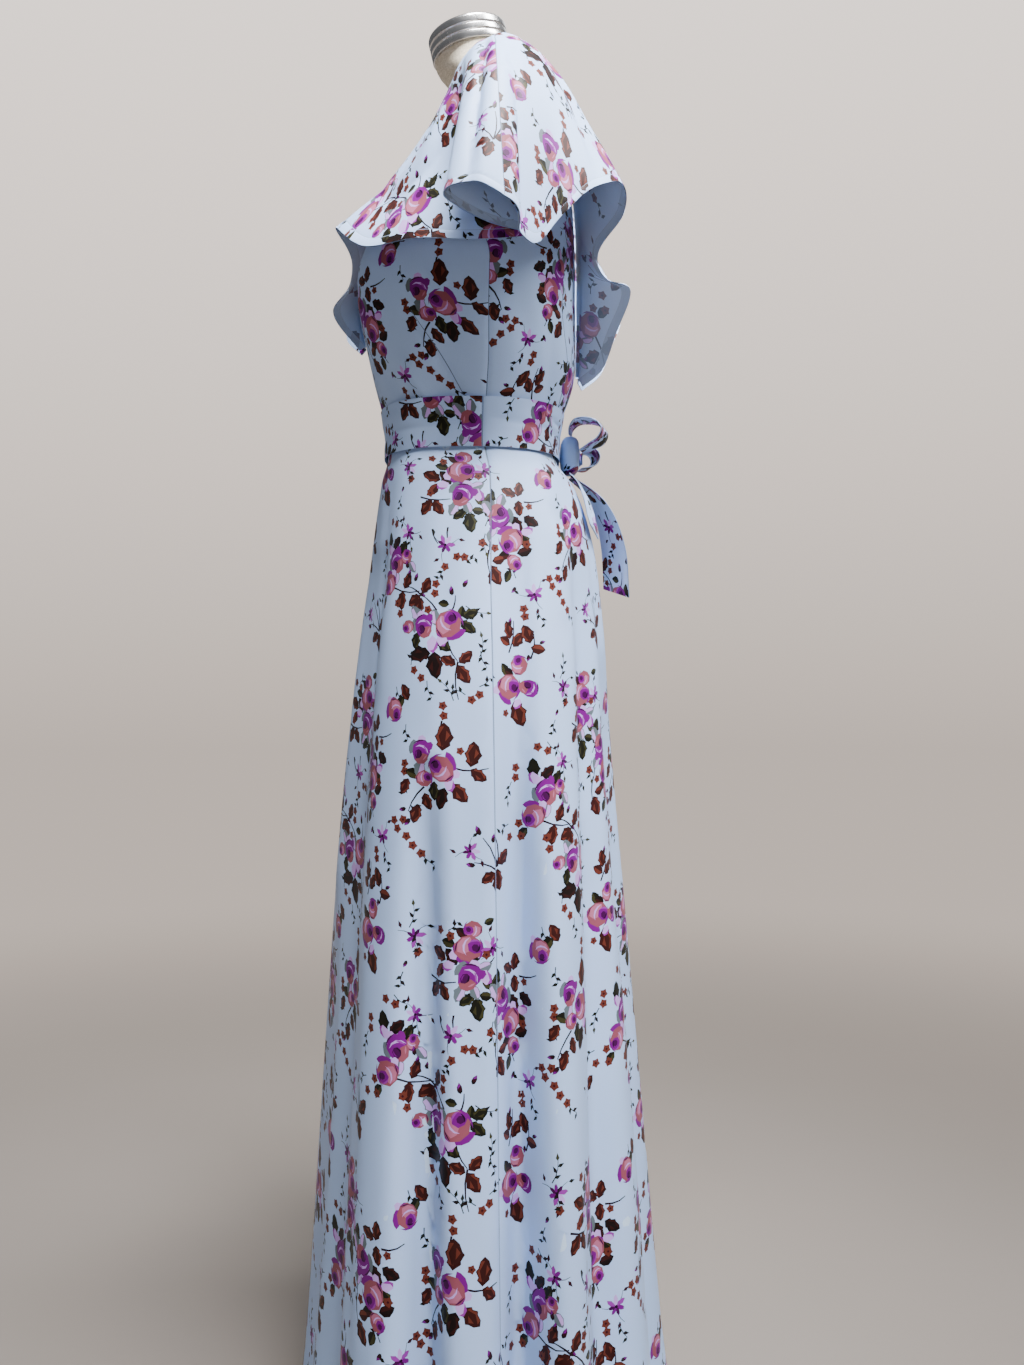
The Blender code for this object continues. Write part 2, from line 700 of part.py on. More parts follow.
def knot_centre():
    back = belt_point(180.0, -2.0 * KNOT_DROP / BELT_WIDTH).y
    return Vector((0.0, back + KNOT_HALF.y + SEAM_GAP, BELT_HEIGHT - KNOT_DROP))


def build_knot():
    """The knot: a soft block, flat where it lies on the belt."""
    centre = knot_centre()
    segments = 20
    rings = 9
    points = []
    for ring in range(1, rings):
        tall = math.pi * ring / rings
        for step in range(segments):
            turn = 2.0 * math.pi * step / segments
            x = signed_power(math.cos(turn) * math.sin(tall), 0.7)
            y = signed_power(math.sin(turn) * math.sin(tall), 0.7)
            z = signed_power(math.cos(tall), 0.7)
            points.append(centre + Vector((x * KNOT_HALF.x, y * KNOT_HALF.y, z * KNOT_HALF.z)))
    top = len(points)
    points.append(centre + Vector((0, 0, KNOT_HALF.z)))
    points.append(centre - Vector((0, 0, KNOT_HALF.z)))
    faces = []
    for step in range(segments):
        after = (step + 1) % segments
        faces.append((top, step, after))
        for ring in range(rings - 2):
            a = ring * segments + step
            b = ring * segments + after
            faces += [(a, a + segments, b + segments), (a, b + segments, b)]
        last = (rings - 2) * segments
        faces.append((top + 1, last + after, last + step))
    new_object("belt_knot", points, faces, "printed_crepe")


def loop_grid(loop):
    """A loop of the bow: out from the knot, over its top, round, and back in below."""
    turn = math.radians(loop.turn)
    width = Vector((math.cos(turn), -math.sin(turn), 0.0))
    steps = 16
    grid = []
    for step in range(steps + 1):
        share = step / steps
        way = at(LOOP_WAY, share * LOOP_WAY[-1].along)
        out = way.out * loop.reach + mix(loop.start_shift, loop.end_shift, share)
        up = way.up - mix(loop.start_lower, loop.end_lower, share)
        middle = knot_centre() + Vector((way.across, out - KNOT_HALF.y / 2, up))
        line = [middle + width * (way.width * part / 2) for part in (-1.0, -0.35, 0.35, 1.0)]
        grid.append([Vector((point.x * loop.side, point.y, point.z)) for point in line])
    return grid


def end_grid(falls, side):
    """A hanging end of the belt, off the back of the skirt."""
    grid = []
    heights = sorted({fall.height for fall in falls} | {mix(a.height, b.height, 0.5)
                                                        for a, b in zip(falls, falls[1:])})
    for height in heights:
        fall = at(falls, height)
        turn = math.radians(fall.turn)
        width = Vector((math.cos(turn), math.sin(turn), 0.0))
        middle = Vector((fall.across, skirt_y(fall.across, height) + fall.off, height))
        slant = 0.006 if height == heights[0] else 0.0
        line = []
        for share in (-1.0, -0.4, 0.4, 1.0):
            point = middle + width * (share * fall.width / 2)
            point.z += slant * share * side
            line.append(point)
        grid.append(line)
    return grid


def build_bow():
    for name, loop in LOOPS.items():
        wall(name, loop_grid(loop), -loop.side)
    wall("tie_end_left", end_grid(LEFT_END, 1.0), 1.0)
    wall("tie_end_right", end_grid(RIGHT_END, -1.0), 1.0)


def build_form():
    segments = 32
    heights = [row.height for row in FORM]
    points = []
    for height in heights:
        section = at(FORM, height)
        for step in range(segments):
            point = section_point(section, 360.0 * step / segments)
            point.z += (point.y - section.side) * section.lean
            points.append(point)
    low = len(points)
    points.append(Vector((0.0, 0.5 * (FORM[0].front + FORM[0].back), FORM[0].height)))
    points.append(NECK_TOP.copy())
    faces = []
    for step in range(segments):
        after = (step + 1) % segments
        faces.append((low, step, after))
        for ring in range(len(heights) - 1):
            a = ring * segments + step
            b = ring * segments + after
            faces += [(a, a + segments, b + segments), (a, b + segments, b)]
        last = (len(heights) - 1) * segments
        faces.append((low + 1, last + after, last + step))
    new_object("form_torso", points, faces, "linen")


def build_cap():
    """The turned neck cap: two grooves round its side and a rounded top edge."""
    groove = 0.0012
    profile = [(CAP_RADIUS - 0.001, 0.0), (CAP_RADIUS, 0.001)]
    for height in (0.0085, 0.0165):
        profile += [(CAP_RADIUS, height - 0.0012), (CAP_RADIUS - groove, height),
                    (CAP_RADIUS, height + 0.0012)]
    profile += [(CAP_RADIUS, CAP_HEIGHT - 0.004), (CAP_RADIUS - 0.0012, CAP_HEIGHT - 0.0012),
                (CAP_RADIUS - 0.004, CAP_HEIGHT)]
    cap = turned("form_neck_cap", profile, "chrome")
    axis = Vector((0.0, -math.sin(CAP_TILT), math.cos(CAP_TILT)))
    cap.rotation_euler = (CAP_TILT, 0.0, 0.0)
    cap.location = NECK_TOP + axis * SEAM_GAP


def build_stand():
    base = BASE_RADIUS
    turned("form_base", [(base - 0.002, 0.0), (base, 0.002), (base, BASE_THICKNESS - 0.004),
                         (base - 0.004, BASE_THICKNESS)], "painted_steel", 48)
    turned("form_pole", [(POLE_RADIUS, BASE_THICKNESS + SEAM_GAP),
                         (POLE_RADIUS, FORM_BOTTOM - SEAM_GAP)], "painted_steel", 20)


def main():
    clear_scene()
    build_bodice()
    build_flounces()
    build_skirt()
    build_belt()
    build_knot()
    build_bow()
    build_form()
    build_cap()
    build_stand()


main()
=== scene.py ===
"""Looks of the printed maxi dress on its dress form.

The surfaces come from the same named sizes as the solids. Each cloth piece has a flat pattern, and
its print is drawn on that pattern and cut into the cloth's own faces, so that it follows every
fold. Chart units of the print are about a millimetre on the cloth.
"""
import math
from collections import namedtuple

import bpy
import numpy as np
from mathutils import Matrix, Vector
from mathutils.geometry import delaunay_2d_cdt


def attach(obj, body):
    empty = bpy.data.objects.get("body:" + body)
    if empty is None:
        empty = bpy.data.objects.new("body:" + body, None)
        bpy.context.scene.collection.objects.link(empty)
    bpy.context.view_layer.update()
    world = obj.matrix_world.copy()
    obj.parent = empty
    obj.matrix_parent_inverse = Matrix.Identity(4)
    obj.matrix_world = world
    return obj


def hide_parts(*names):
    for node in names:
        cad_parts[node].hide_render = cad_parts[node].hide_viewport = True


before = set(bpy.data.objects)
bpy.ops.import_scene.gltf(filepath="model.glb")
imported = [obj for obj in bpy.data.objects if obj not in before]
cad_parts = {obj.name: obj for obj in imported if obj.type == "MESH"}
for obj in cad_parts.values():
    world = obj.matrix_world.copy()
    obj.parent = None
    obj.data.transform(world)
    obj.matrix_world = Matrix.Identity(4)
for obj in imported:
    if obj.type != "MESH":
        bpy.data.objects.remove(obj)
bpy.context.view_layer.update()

# Cloth
WALL = 0.0013
SEAM_GAP = 0.0003
HALF_GAP = SEAM_GAP / 2
NECK_SEAM_GAP = 0.0012
REST_CLEARANCE = 0.0055
FULLNESS = 2.35
CHEST_FULLNESS = 1.85

# Heights on the dress
HEM_HEIGHT = 0.030
WAIST_HEIGHT = 1.090
UNDERARM_HEIGHT = 1.300
FRONT_V_HEIGHT = 1.200
BACK_V_HEIGHT = 1.165
SHOULDER_LOW = 1.410
SHOULDER_TOP = 1.500

# Widths on the bodice
NECK_WIDTH = 0.085
STRAP_WIDTH = 0.150
ARMHOLE_SCOOP = 0.030
BUST_WIDTH = 0.085
BUST_HEIGHT = 1.245
BUST_DEPTH = 0.0145
BUST_SPREAD = 0.042
BUST_RISE = 0.050
BUST_FALL = 0.070
SIDE_SEAM_ANGLE = 98.0
SIDE_SEAM_EASE = 0.05

# Form and stand
CAP_RADIUS = 0.0435
CAP_HEIGHT = 0.027
CAP_TILT = math.radians(13.0)
NECK_TOP = Vector((0.0, 0.0, 1.518))

# Belt
BELT_HEIGHT = 1.0955
BELT_WIDTH = 0.050
BELT_SIDE_DROP = 0.004
BELT_SEAM_ANGLE = 96.0
KNOT_HALF = Vector((0.023, 0.011, 0.021))
KNOT_DROP = 0.017


def table(kind, *rows):
    """A table whose rows are all one kind of named tuple."""
    return [kind(*row) for row in rows]


Section = namedtuple("Section", "height half_width front side back")
BODICE = table(Section,
    (1.07, 0.1215, -0.0895, 0.0, 0.0905), (1.09, 0.1215, -0.0895, 0.0, 0.0905),
    (1.11, 0.1225, -0.0915, 0.0, 0.0935), (1.125, 0.1255, -0.0965, 0.0, 0.0995),
    (1.16, 0.1335, -0.1055, 0.0, 0.1105), (1.2, 0.1415, -0.112, 0.0, 0.1115),
    (1.24, 0.1475, -0.1125, 0.001, 0.1115), (1.28, 0.1515, -0.109, 0.003, 0.1115),
    (1.34, 0.157, -0.086, 0.006, 0.1095), (1.38, 0.162, -0.059, 0.01, 0.1055),
    (1.42, 0.1605, -0.035, 0.018, 0.0965), (1.445, 0.149, -0.024, 0.026, 0.0875),
    (1.465, 0.1245, -0.019, 0.029, 0.0785), (1.48, 0.0962, -0.021, 0.0275, 0.0705),
    (1.492, 0.0705, -0.025, 0.0215, 0.0635),
)

SKIRT = table(Section,
    (HEM_HEIGHT, 0.345, -0.192, 0.012, 0.221), (0.15, 0.322, -0.181, 0.012, 0.207),
    (0.37, 0.284, -0.166, 0.011, 0.188), (0.59, 0.245, -0.15, 0.01, 0.169),
    (0.766, 0.214, -0.133, 0.008, 0.153), (0.876, 0.193, -0.12, 0.006, 0.145),
    (0.964, 0.172, -0.107, 0.004, 0.135), (1.01, 0.157, -0.1015, 0.003, 0.124),
    (1.045, 0.141, -0.097, 0.002, 0.109), (1.066, 0.1245, -0.0912, 0.0, 0.0925),
    (WAIST_HEIGHT, 0.1215, -0.0895, 0.0, 0.0905),
)

Figure = namedtuple("Figure", "height half_width front side back lean")
FORM = table(Figure,
    (0.78, 0.148, -0.078, 0.012, 0.103, 0.0), (0.79, 0.156, -0.086, 0.012, 0.111, 0.0),
    (0.83, 0.164, -0.093, 0.012, 0.121, 0.0), (0.9, 0.166, -0.096, 0.012, 0.126, 0.0),
    (1.0, 0.144, -0.09, 0.01, 0.111, 0.0), (1.06, 0.1215, -0.0855, 0.004, 0.09, 0.0),
    (1.1, 0.1175, -0.0855, 0.0, 0.0865, 0.0), (1.16, 0.127, -0.0985, 0.0, 0.101, 0.0),
    (1.2, 0.1345, -0.105, 0.0, 0.1045, 0.0), (1.24, 0.14, -0.106, 0.001, 0.1055, 0.0),
    (1.28, 0.1445, -0.101, 0.003, 0.1055, 0.0), (1.34, 0.1515, -0.0805, 0.006, 0.104, 0.0),
    (1.38, 0.157, -0.0545, 0.01, 0.101, 0.0), (1.42, 0.156, -0.0305, 0.018, 0.092, 0.0),
    (1.445, 0.1445, -0.0195, 0.026, 0.083, 0.0), (1.465, 0.12, -0.0145, 0.029, 0.074, 0.01),
    (1.48, 0.0918, -0.0165, 0.0265, 0.064, 0.05), (1.49, 0.0665, -0.0225, 0.0195, 0.057, 0.12),
    (1.499, 0.05, -0.031, 0.01, 0.051, 0.18), (1.508, 0.0425, -0.0375, 0.0035, 0.0445, 0.22),
    (1.518, 0.0405, -0.0405, 0.0, 0.0405, math.tan(CAP_TILT)),
)

# The belt's outer face from its lower edge (-1) to its upper edge (1)
Band = namedtuple("Band", "rise half_width front side back")
BELT = table(Band,
    (-1.0, 0.1275, -0.0947, 0.0, 0.0962), (0.0, 0.1268, -0.095, 0.0, 0.097),
    (1.0, 0.1292, -0.0985, 0.0, 0.1012),
)

# Troughs between the skirt's flutes: angles run from the front (0) by the wearer's left (90) to
# the back (180), in degrees
Trough = namedtuple("Trough", "hem_angle top_angle half_angle depth top_height")
TROUGHS = table(Trough,
    (12.0, 14.0, 8.0, 0.014, 0.62), (35.0, 30.0, 12.0, 0.028, 0.97), (75.0, 71.0, 6.5, 0.028, 0.76),
    (103.0, 109.0, 7.5, 0.034, 1.0), (131.0, 147.0, 8.0, 0.034, 0.98), (163.0, 166.0, 9.0, 0.026, 0.86),
    (193.0, 190.0, 8.5, 0.028, 0.92), (221.0, 212.0, 8.0, 0.033, 0.98), (250.0, 246.0, 7.0, 0.03, 0.9),
    (279.0, 284.0, 8.0, 0.034, 0.99), (306.0, 311.0, 9.0, 0.028, 0.78), (334.0, 331.0, 9.5, 0.027, 0.9),
)

# Turns of the left flounce's hem, from the centre front over the shoulder to the centre back
Turn = namedtuple("Turn", "along x y z")
HEM_TURNS = table(Turn,
    (0.0, 0.01, -0.122, 1.192), (0.06, 0.05, -0.145, 1.222), (0.11, 0.037, -0.13, 1.256),
    (0.16, 0.047, -0.127, 1.281), (0.27, 0.088, -0.137, 1.298), (0.335, 0.15, -0.1, 1.258),
    (0.385, 0.177, -0.044, 1.257), (0.415, 0.174, 0.006, 1.257), (0.429, 0.167, 0.05, 1.262),
    (0.439, 0.176, 0.06, 1.263), (0.453, 0.202, 0.02, 1.265), (0.467, 0.231, -0.018, 1.278),
    (0.484, 0.25, 0.008, 1.284), (0.5, 0.2505, 0.037, 1.27), (0.515, 0.24, 0.049, 1.262),
    (0.532, 0.224, 0.052, 1.247), (0.552, 0.211, 0.067, 1.2405), (0.58, 0.204, 0.09, 1.268),
    (0.62, 0.188, 0.119, 1.3), (0.665, 0.156, 0.15, 1.318), (0.73, 0.104, 0.157, 1.307),
    (0.79, 0.066, 0.134, 1.281), (0.84, 0.066, 0.143, 1.252), (0.88, 0.056, 0.169, 1.244),
    (0.93, 0.028, 0.156, 1.205), (0.97, 0.016, 0.142, 1.17), (1.0, 0.01, 0.121, 1.153),
)

# The same hem with its flutes smoothed out, and how the cloth leaves the neck edge towards it:
# its lift off the body in degrees, the share of the way that it keeps to, and how late its
# flutes open
Course = namedtuple("Course", "along x y z lift reach growth")
HEM_COURSE = table(Course,
    (0.0, 0.01, -0.122, 1.192, 3.0, 0.4, 1.5), (0.12, 0.046, -0.133, 1.254, 0.0, 0.38, 1.5),
    (0.27, 0.108, -0.12, 1.284, -8.0, 0.34, 1.8), (0.36, 0.165, -0.07, 1.265, -12.0, 0.38, 2.2),
    (0.44, 0.202, -0.01, 1.264, 12.0, 0.48, 3.0), (0.5, 0.225, 0.026, 1.268, 18.0, 0.5, 2.2),
    (0.6, 0.192, 0.092, 1.275, 30.0, 0.47, 1.6), (0.71, 0.124, 0.145, 1.298, 34.0, 0.45, 1.6),
    (0.8, 0.072, 0.138, 1.27, 24.0, 0.42, 1.5), (0.88, 0.05, 0.15, 1.236, 18.0, 0.4, 1.5),
    (0.95, 0.022, 0.145, 1.19, 14.0, 0.4, 1.5), (1.0, 0.01, 0.121, 1.153, 14.0, 0.4, 1.5),
)

RIGHT_FLUTES = 0.88
CENTRE_CLEARANCE = 0.003
NECK_STEPS = 20

# Ways of the belt's ends: height, how far across, how far off the skirt, and the turn of the
# width about the vertical in degrees
Fall = namedtuple("Fall", "height across off turn width")
LEFT_END = table(Fall,
    (0.99, 0.05, 0.0065, -17.0, 0.038), (1.024, 0.038, 0.008, -14.0, 0.034),
    (1.0565, 0.013, 0.0076, -6.0, 0.02),
)
RIGHT_END = table(Fall,
    (0.929, -0.014, 0.02, 33.0, 0.046), (0.985, -0.013, 0.024, 30.0, 0.044),
    (1.03, -0.013, 0.022, 22.0, 0.034), (1.0565, -0.013, 0.009, 6.0, 0.02),
)

# The way of a bow loop's ribbon, from the knot out over its top and back in below: out from the
# knot, up from its middle, across to the loop's own side, and the ribbon's width
Way = namedtuple("Way", "along out up across width")
LOOP_WAY = table(Way,
    (0.0, 0.006, 0.0214, 0.0075, 0.014), (1.0, 0.007, 0.028, 0.012, 0.022),
    (2.0, 0.013, 0.0335, 0.019, 0.034), (3.0, 0.025, 0.034, 0.0235, 0.04),
    (4.0, 0.036, 0.03, 0.026, 0.042), (5.0, 0.041, 0.022, 0.0275, 0.042),
    (6.0, 0.037, 0.013, 0.027, 0.042), (7.0, 0.028, 0.008, 0.023, 0.036),
    (8.0, 0.0172, 0.004, 0.012, 0.022),
)

# The bow's loops: side, length, the turn of the width, and how far the way is lowered and shifted
# out where it starts and where it ends
Loop = namedtuple("Loop", "side reach turn start_lower end_lower start_shift end_shift")
LOOPS = {
    "bow_loop_left": Loop(1.0, 1.0, 14.0, 0.0, 0.0, 0.0, 0.0),
    "bow_loop_right": Loop(-1.0, 0.62, 10.0, 0.03, 0.016, 0.0148, 0.006),
}


def at(rows, key):
    """A row between a table's rows, on smooth curves through them; the first column is the key."""
    keys = [row[0] for row in rows]
    last = len(rows) - 1
    low = max(i for i in range(last) if i == 0 or keys[i] <= key)
    span = keys[low + 1] - keys[low]
    share = (key - keys[low]) / span

    def slope(index, column):
        before = max(index - 1, 0)
        after = min(index + 1, last)
        return (rows[after][column] - rows[before][column]) / (keys[after] - keys[before])

    values = [key]
    for column in range(1, len(rows[0])):
        start = rows[low][column]
        end = rows[low + 1][column]
        if 0.0 <= share <= 1.0:
            squared = share * share
            cubed = squared * share
            value = (2 * cubed - 3 * squared + 1) * start
            value += (cubed - 2 * squared + share) * span * slope(low, column)
            value += (3 * squared - 2 * cubed) * end
            value += (cubed - squared) * span * slope(low + 1, column)
        else:
            value = start + (end - start) * share
        values.append(value)
    return type(rows[0])(*values)


def mix(start, end, share):
    return start + (end - start) * share


def ease(share):
    share = min(max(share, 0.0), 1.0)
    return share * share * (3.0 - 2.0 * share)


def spread(start, end, count):
    return [mix(start, end, step / count) for step in range(count + 1)]


def signed_power(value, power):
    return math.copysign(abs(value) ** power, value)


def fullness_at(height):
    """How square a section is: squarer at the waist than across the shoulders."""
    return mix(FULLNESS, CHEST_FULLNESS, ease((height - 1.30) / 0.10))


def bust(x, height):
    """How far the bust stands forward of the plain section."""
    fall = BUST_RISE if height > BUST_HEIGHT else BUST_FALL
    across = (abs(x) - BUST_WIDTH) / BUST_SPREAD
    up = (height - BUST_HEIGHT) / fall
    return BUST_DEPTH * math.exp(-across * across - up * up)


def section_point(section, angle, fullness=None):
    """A point on a level section; angle 0 is the front and 90 the wearer's left."""
    turn = math.radians(angle)
    fullness = fullness or fullness_at(section.height)
    across = signed_power(math.sin(turn), 2.0 / fullness)
    forward = signed_power(math.cos(turn), 2.0 / fullness)
    reach = section.side - section.front if forward > 0 else section.back - section.side
    x = section.half_width * across
    y = section.side - reach * forward
    if forward > 0:
        y -= bust(x, section.height) * min(1.0, 3.0 * forward)
    return Vector((x, y, section.height))


def branch_point(rows, x, height, front):
    """The front or back point of a section at one distance across."""
    section = at(rows, height)
    ratio = min(abs(x) / section.half_width, 1.0)
    fullness = fullness_at(height)
    forward = (1.0 - ratio ** fullness) ** (1.0 / fullness)
    reach = section.side - section.front if front else section.side - section.back
    y = section.side - reach * forward
    if front:
        y -= bust(x, height) * min(1.0, 3.0 * forward)
    return Vector((x, y, height))


def ridge_height(rows, x):
    """The height at which the shoulder line is this far across."""
    low = SHOULDER_LOW
    high = SHOULDER_TOP
    for _ in range(40):
        middle = 0.5 * (low + high)
        if at(rows, middle).half_width > x:
            low = middle
        else:
            high = middle
    return 0.5 * (low + high)


def side_seam_angle(height):
    """The bodice's side seam leaves the underarm and runs a little behind the middle."""
    share = ease((UNDERARM_HEIGHT - height) / SIDE_SEAM_EASE)
    return mix(90.0, SIDE_SEAM_ANGLE, share)


def neck_edge_x(height, front):
    """How far across the V neck's edge is at one height."""
    point = FRONT_V_HEIGHT if front else BACK_V_HEIGHT
    top = ridge_height(BODICE, NECK_WIDTH)
    return NECK_WIDTH * max(0.0, (height - point) / (top - point))


def skirt_point(angle, height):
    section = at(SKIRT, height)
    fullness = mix(2.0, FULLNESS, ease((height - 0.9) / (WAIST_HEIGHT - 0.9)))
    point = section_point(section, angle, fullness)
    away = Vector((point.x, point.y - section.side, 0.0)).normalized()
    return point - away * trough_depth(angle % 360.0, height)


def skirt_y(x, height):
    """The back of the skirt at one distance across."""
    section = at(SKIRT, height)
    angle = 180.0 - math.degrees(math.asin(min(abs(x) / section.half_width, 1.0)))
    return skirt_point(angle if x > 0 else 360.0 - angle, height).y


def neck_line():
    """Shares and points along the left V edge, from the front over the shoulder to the back."""
    frames = []
    top = ridge_height(BODICE, NECK_WIDTH)
    for front in (True, False):
        low = FRONT_V_HEIGHT if front else BACK_V_HEIGHT
        line = []
        for turn in spread(0.0, math.pi / 2.0, NECK_STEPS):
            height = mix(low, top, math.sin(turn))
            across = max(neck_edge_x(height, front), CENTRE_CLEARANCE)
            line.append(branch_point(BODICE, across, height, front))
        lengths = [0.0]
        for before, after in zip(line, line[1:]):
            lengths.append(lengths[-1] + (after - before).length)
        shares = [length / lengths[-1] * 0.5 for length in lengths]
        if not front:
            line.reverse()
            shares = [1.0 - share for share in reversed(shares)]
        frames += list(zip(shares, line))[(0 if front else 1):]
    return frames


def along_neck(frames, share):
    """The point of the V edge and its direction at one share of its length."""
    index = max(i for i in range(len(frames) - 1) if i == 0 or frames[i][0] <= share)
    before_share, before = frames[index]
    after_share, after = frames[index + 1]
    inside = (share - before_share) / (after_share - before_share)
    wide_before = frames[max(index - 2, 0)][1]
    wide_after = frames[min(index + 3, len(frames) - 1)][1]
    return before.lerp(after, inside), (wide_after - wide_before).normalized()


def outside(point):
    """How far a point lies outside the bodice, on the scale of the bodice's section."""
    section = at(BODICE, min(point.z, BODICE[-1].height + 0.01))
    reach = section.side - section.front if point.y < section.side else section.back - section.side
    fullness = fullness_at(point.z)
    across = (abs(point.x) / section.half_width) ** fullness
    forward = (abs(point.y - section.side) / reach) ** fullness
    return ((across + forward) ** (1.0 / fullness) - 1.0) * min(section.half_width, reach)


def steepest_way(point):
    """The direction in which a point leaves the bodice fastest, as long as its rate."""
    step = 0.001
    return Vector([(outside(point + step * Vector([float(i == axis) for i in range(3)]))
                    - outside(point)) / step for axis in range(3)])


def clear_of_body(point, clearance):
    """The point, pushed out along the steepest way until it is clear of the bodice."""
    for _ in range(4):
        steepest = steepest_way(point)
        short = clearance - outside(point) / steepest.length
        if short <= 0.0:
            break
        point = point + steepest.normalized() * short
    return point


def flounce_point(frames, share, depth, flutes):
    """A point of the left flounce: share runs along the neck edge and depth down to the hem."""
    neck, direction = along_neck(frames, share)
    out = steepest_way(neck)
    out = (out - direction * out.dot(direction)).normalized()
    away = direction.cross(out).normalized()
    away = away if away.x > 0 else -away
    start = neck + out * (WALL + NECK_SEAM_GAP)
    course = at(HEM_COURSE, share)
    hem = Vector((course.x, course.y, course.z))
    turn = Vector(at(HEM_TURNS, share)[1:])
    lift = math.radians(course.lift)
    reach = course.reach * (hem - start).length
    lead = start + (away * math.cos(lift) + out * math.sin(lift)) * reach
    smooth = start * (1 - depth) ** 2 + lead * 2 * depth * (1 - depth) + hem * depth ** 2
    if depth == 0.0:
        return start
    room = mix(WALL + NECK_SEAM_GAP, REST_CLEARANCE, ease(depth / 0.1))
    point = clear_of_body(smooth, room) + (turn - hem) * (flutes * depth ** course.growth)
    return clear_of_body(point, WALL + NECK_SEAM_GAP)


def belt_point(angle, rise):
    """A point of the belt's outer face: rise runs from its lower edge (-1) to its upper (1)."""
    side = abs(math.sin(math.radians(angle)))
    height = BELT_HEIGHT - BELT_SIDE_DROP * side + rise * BELT_WIDTH / 2
    section = at(BELT, rise)
    point = section_point(Section(0.0, *section[1:]), angle)
    return Vector((point.x, point.y, height))


def knot_centre():
    back = belt_point(180.0, -2.0 * KNOT_DROP / BELT_WIDTH).y
    return Vector((0.0, back + KNOT_HALF.y + SEAM_GAP, BELT_HEIGHT - KNOT_DROP))


def new_item(name, data):
    """A new object in the scene."""
    item = bpy.data.objects.new(name, data)
    bpy.context.scene.collection.objects.link(item)
    return item


# Print
PRINT_SCALE = 0.00095
REPEAT_DROP = 484.0
COLUMN_STEP = 175.0
ROSE_GROWTH = 1.17
LEAF_GROWTH = 1.30
LARGE_ROSE = 13.0
LARGE_LEAF = 13.5
MARK_MARGIN = 120.0

TONES = {
    "cloth": (172, 199, 243),
    "wrong": (196, 218, 248),
    "thread": (150, 172, 204),
    # the seam tone is painted shade: a dark line where seams and darts sink into a groove
    "seam": (86, 98, 128),
    "magenta": (110, 4, 120),
    "purple": (62, 2, 64),
    "deep": (24, 2, 28),
    "orchid": (142, 52, 154),
    "lilac": (190, 154, 224),
    "salmon": (136, 72, 86),
    "blush": (170, 100, 128),
    "rust": (96, 44, 34),
    "brown": (48, 18, 16),
    "maroon": (46, 10, 22),
    "umber": (22, 12, 12),
    "olive": (54, 52, 28),
    "moss": (20, 20, 12),
    "fern": (92, 96, 54),
    "grey": (92, 104, 112),
    "stem": (26, 10, 22),
}
TONE_NAMES = list(TONES)

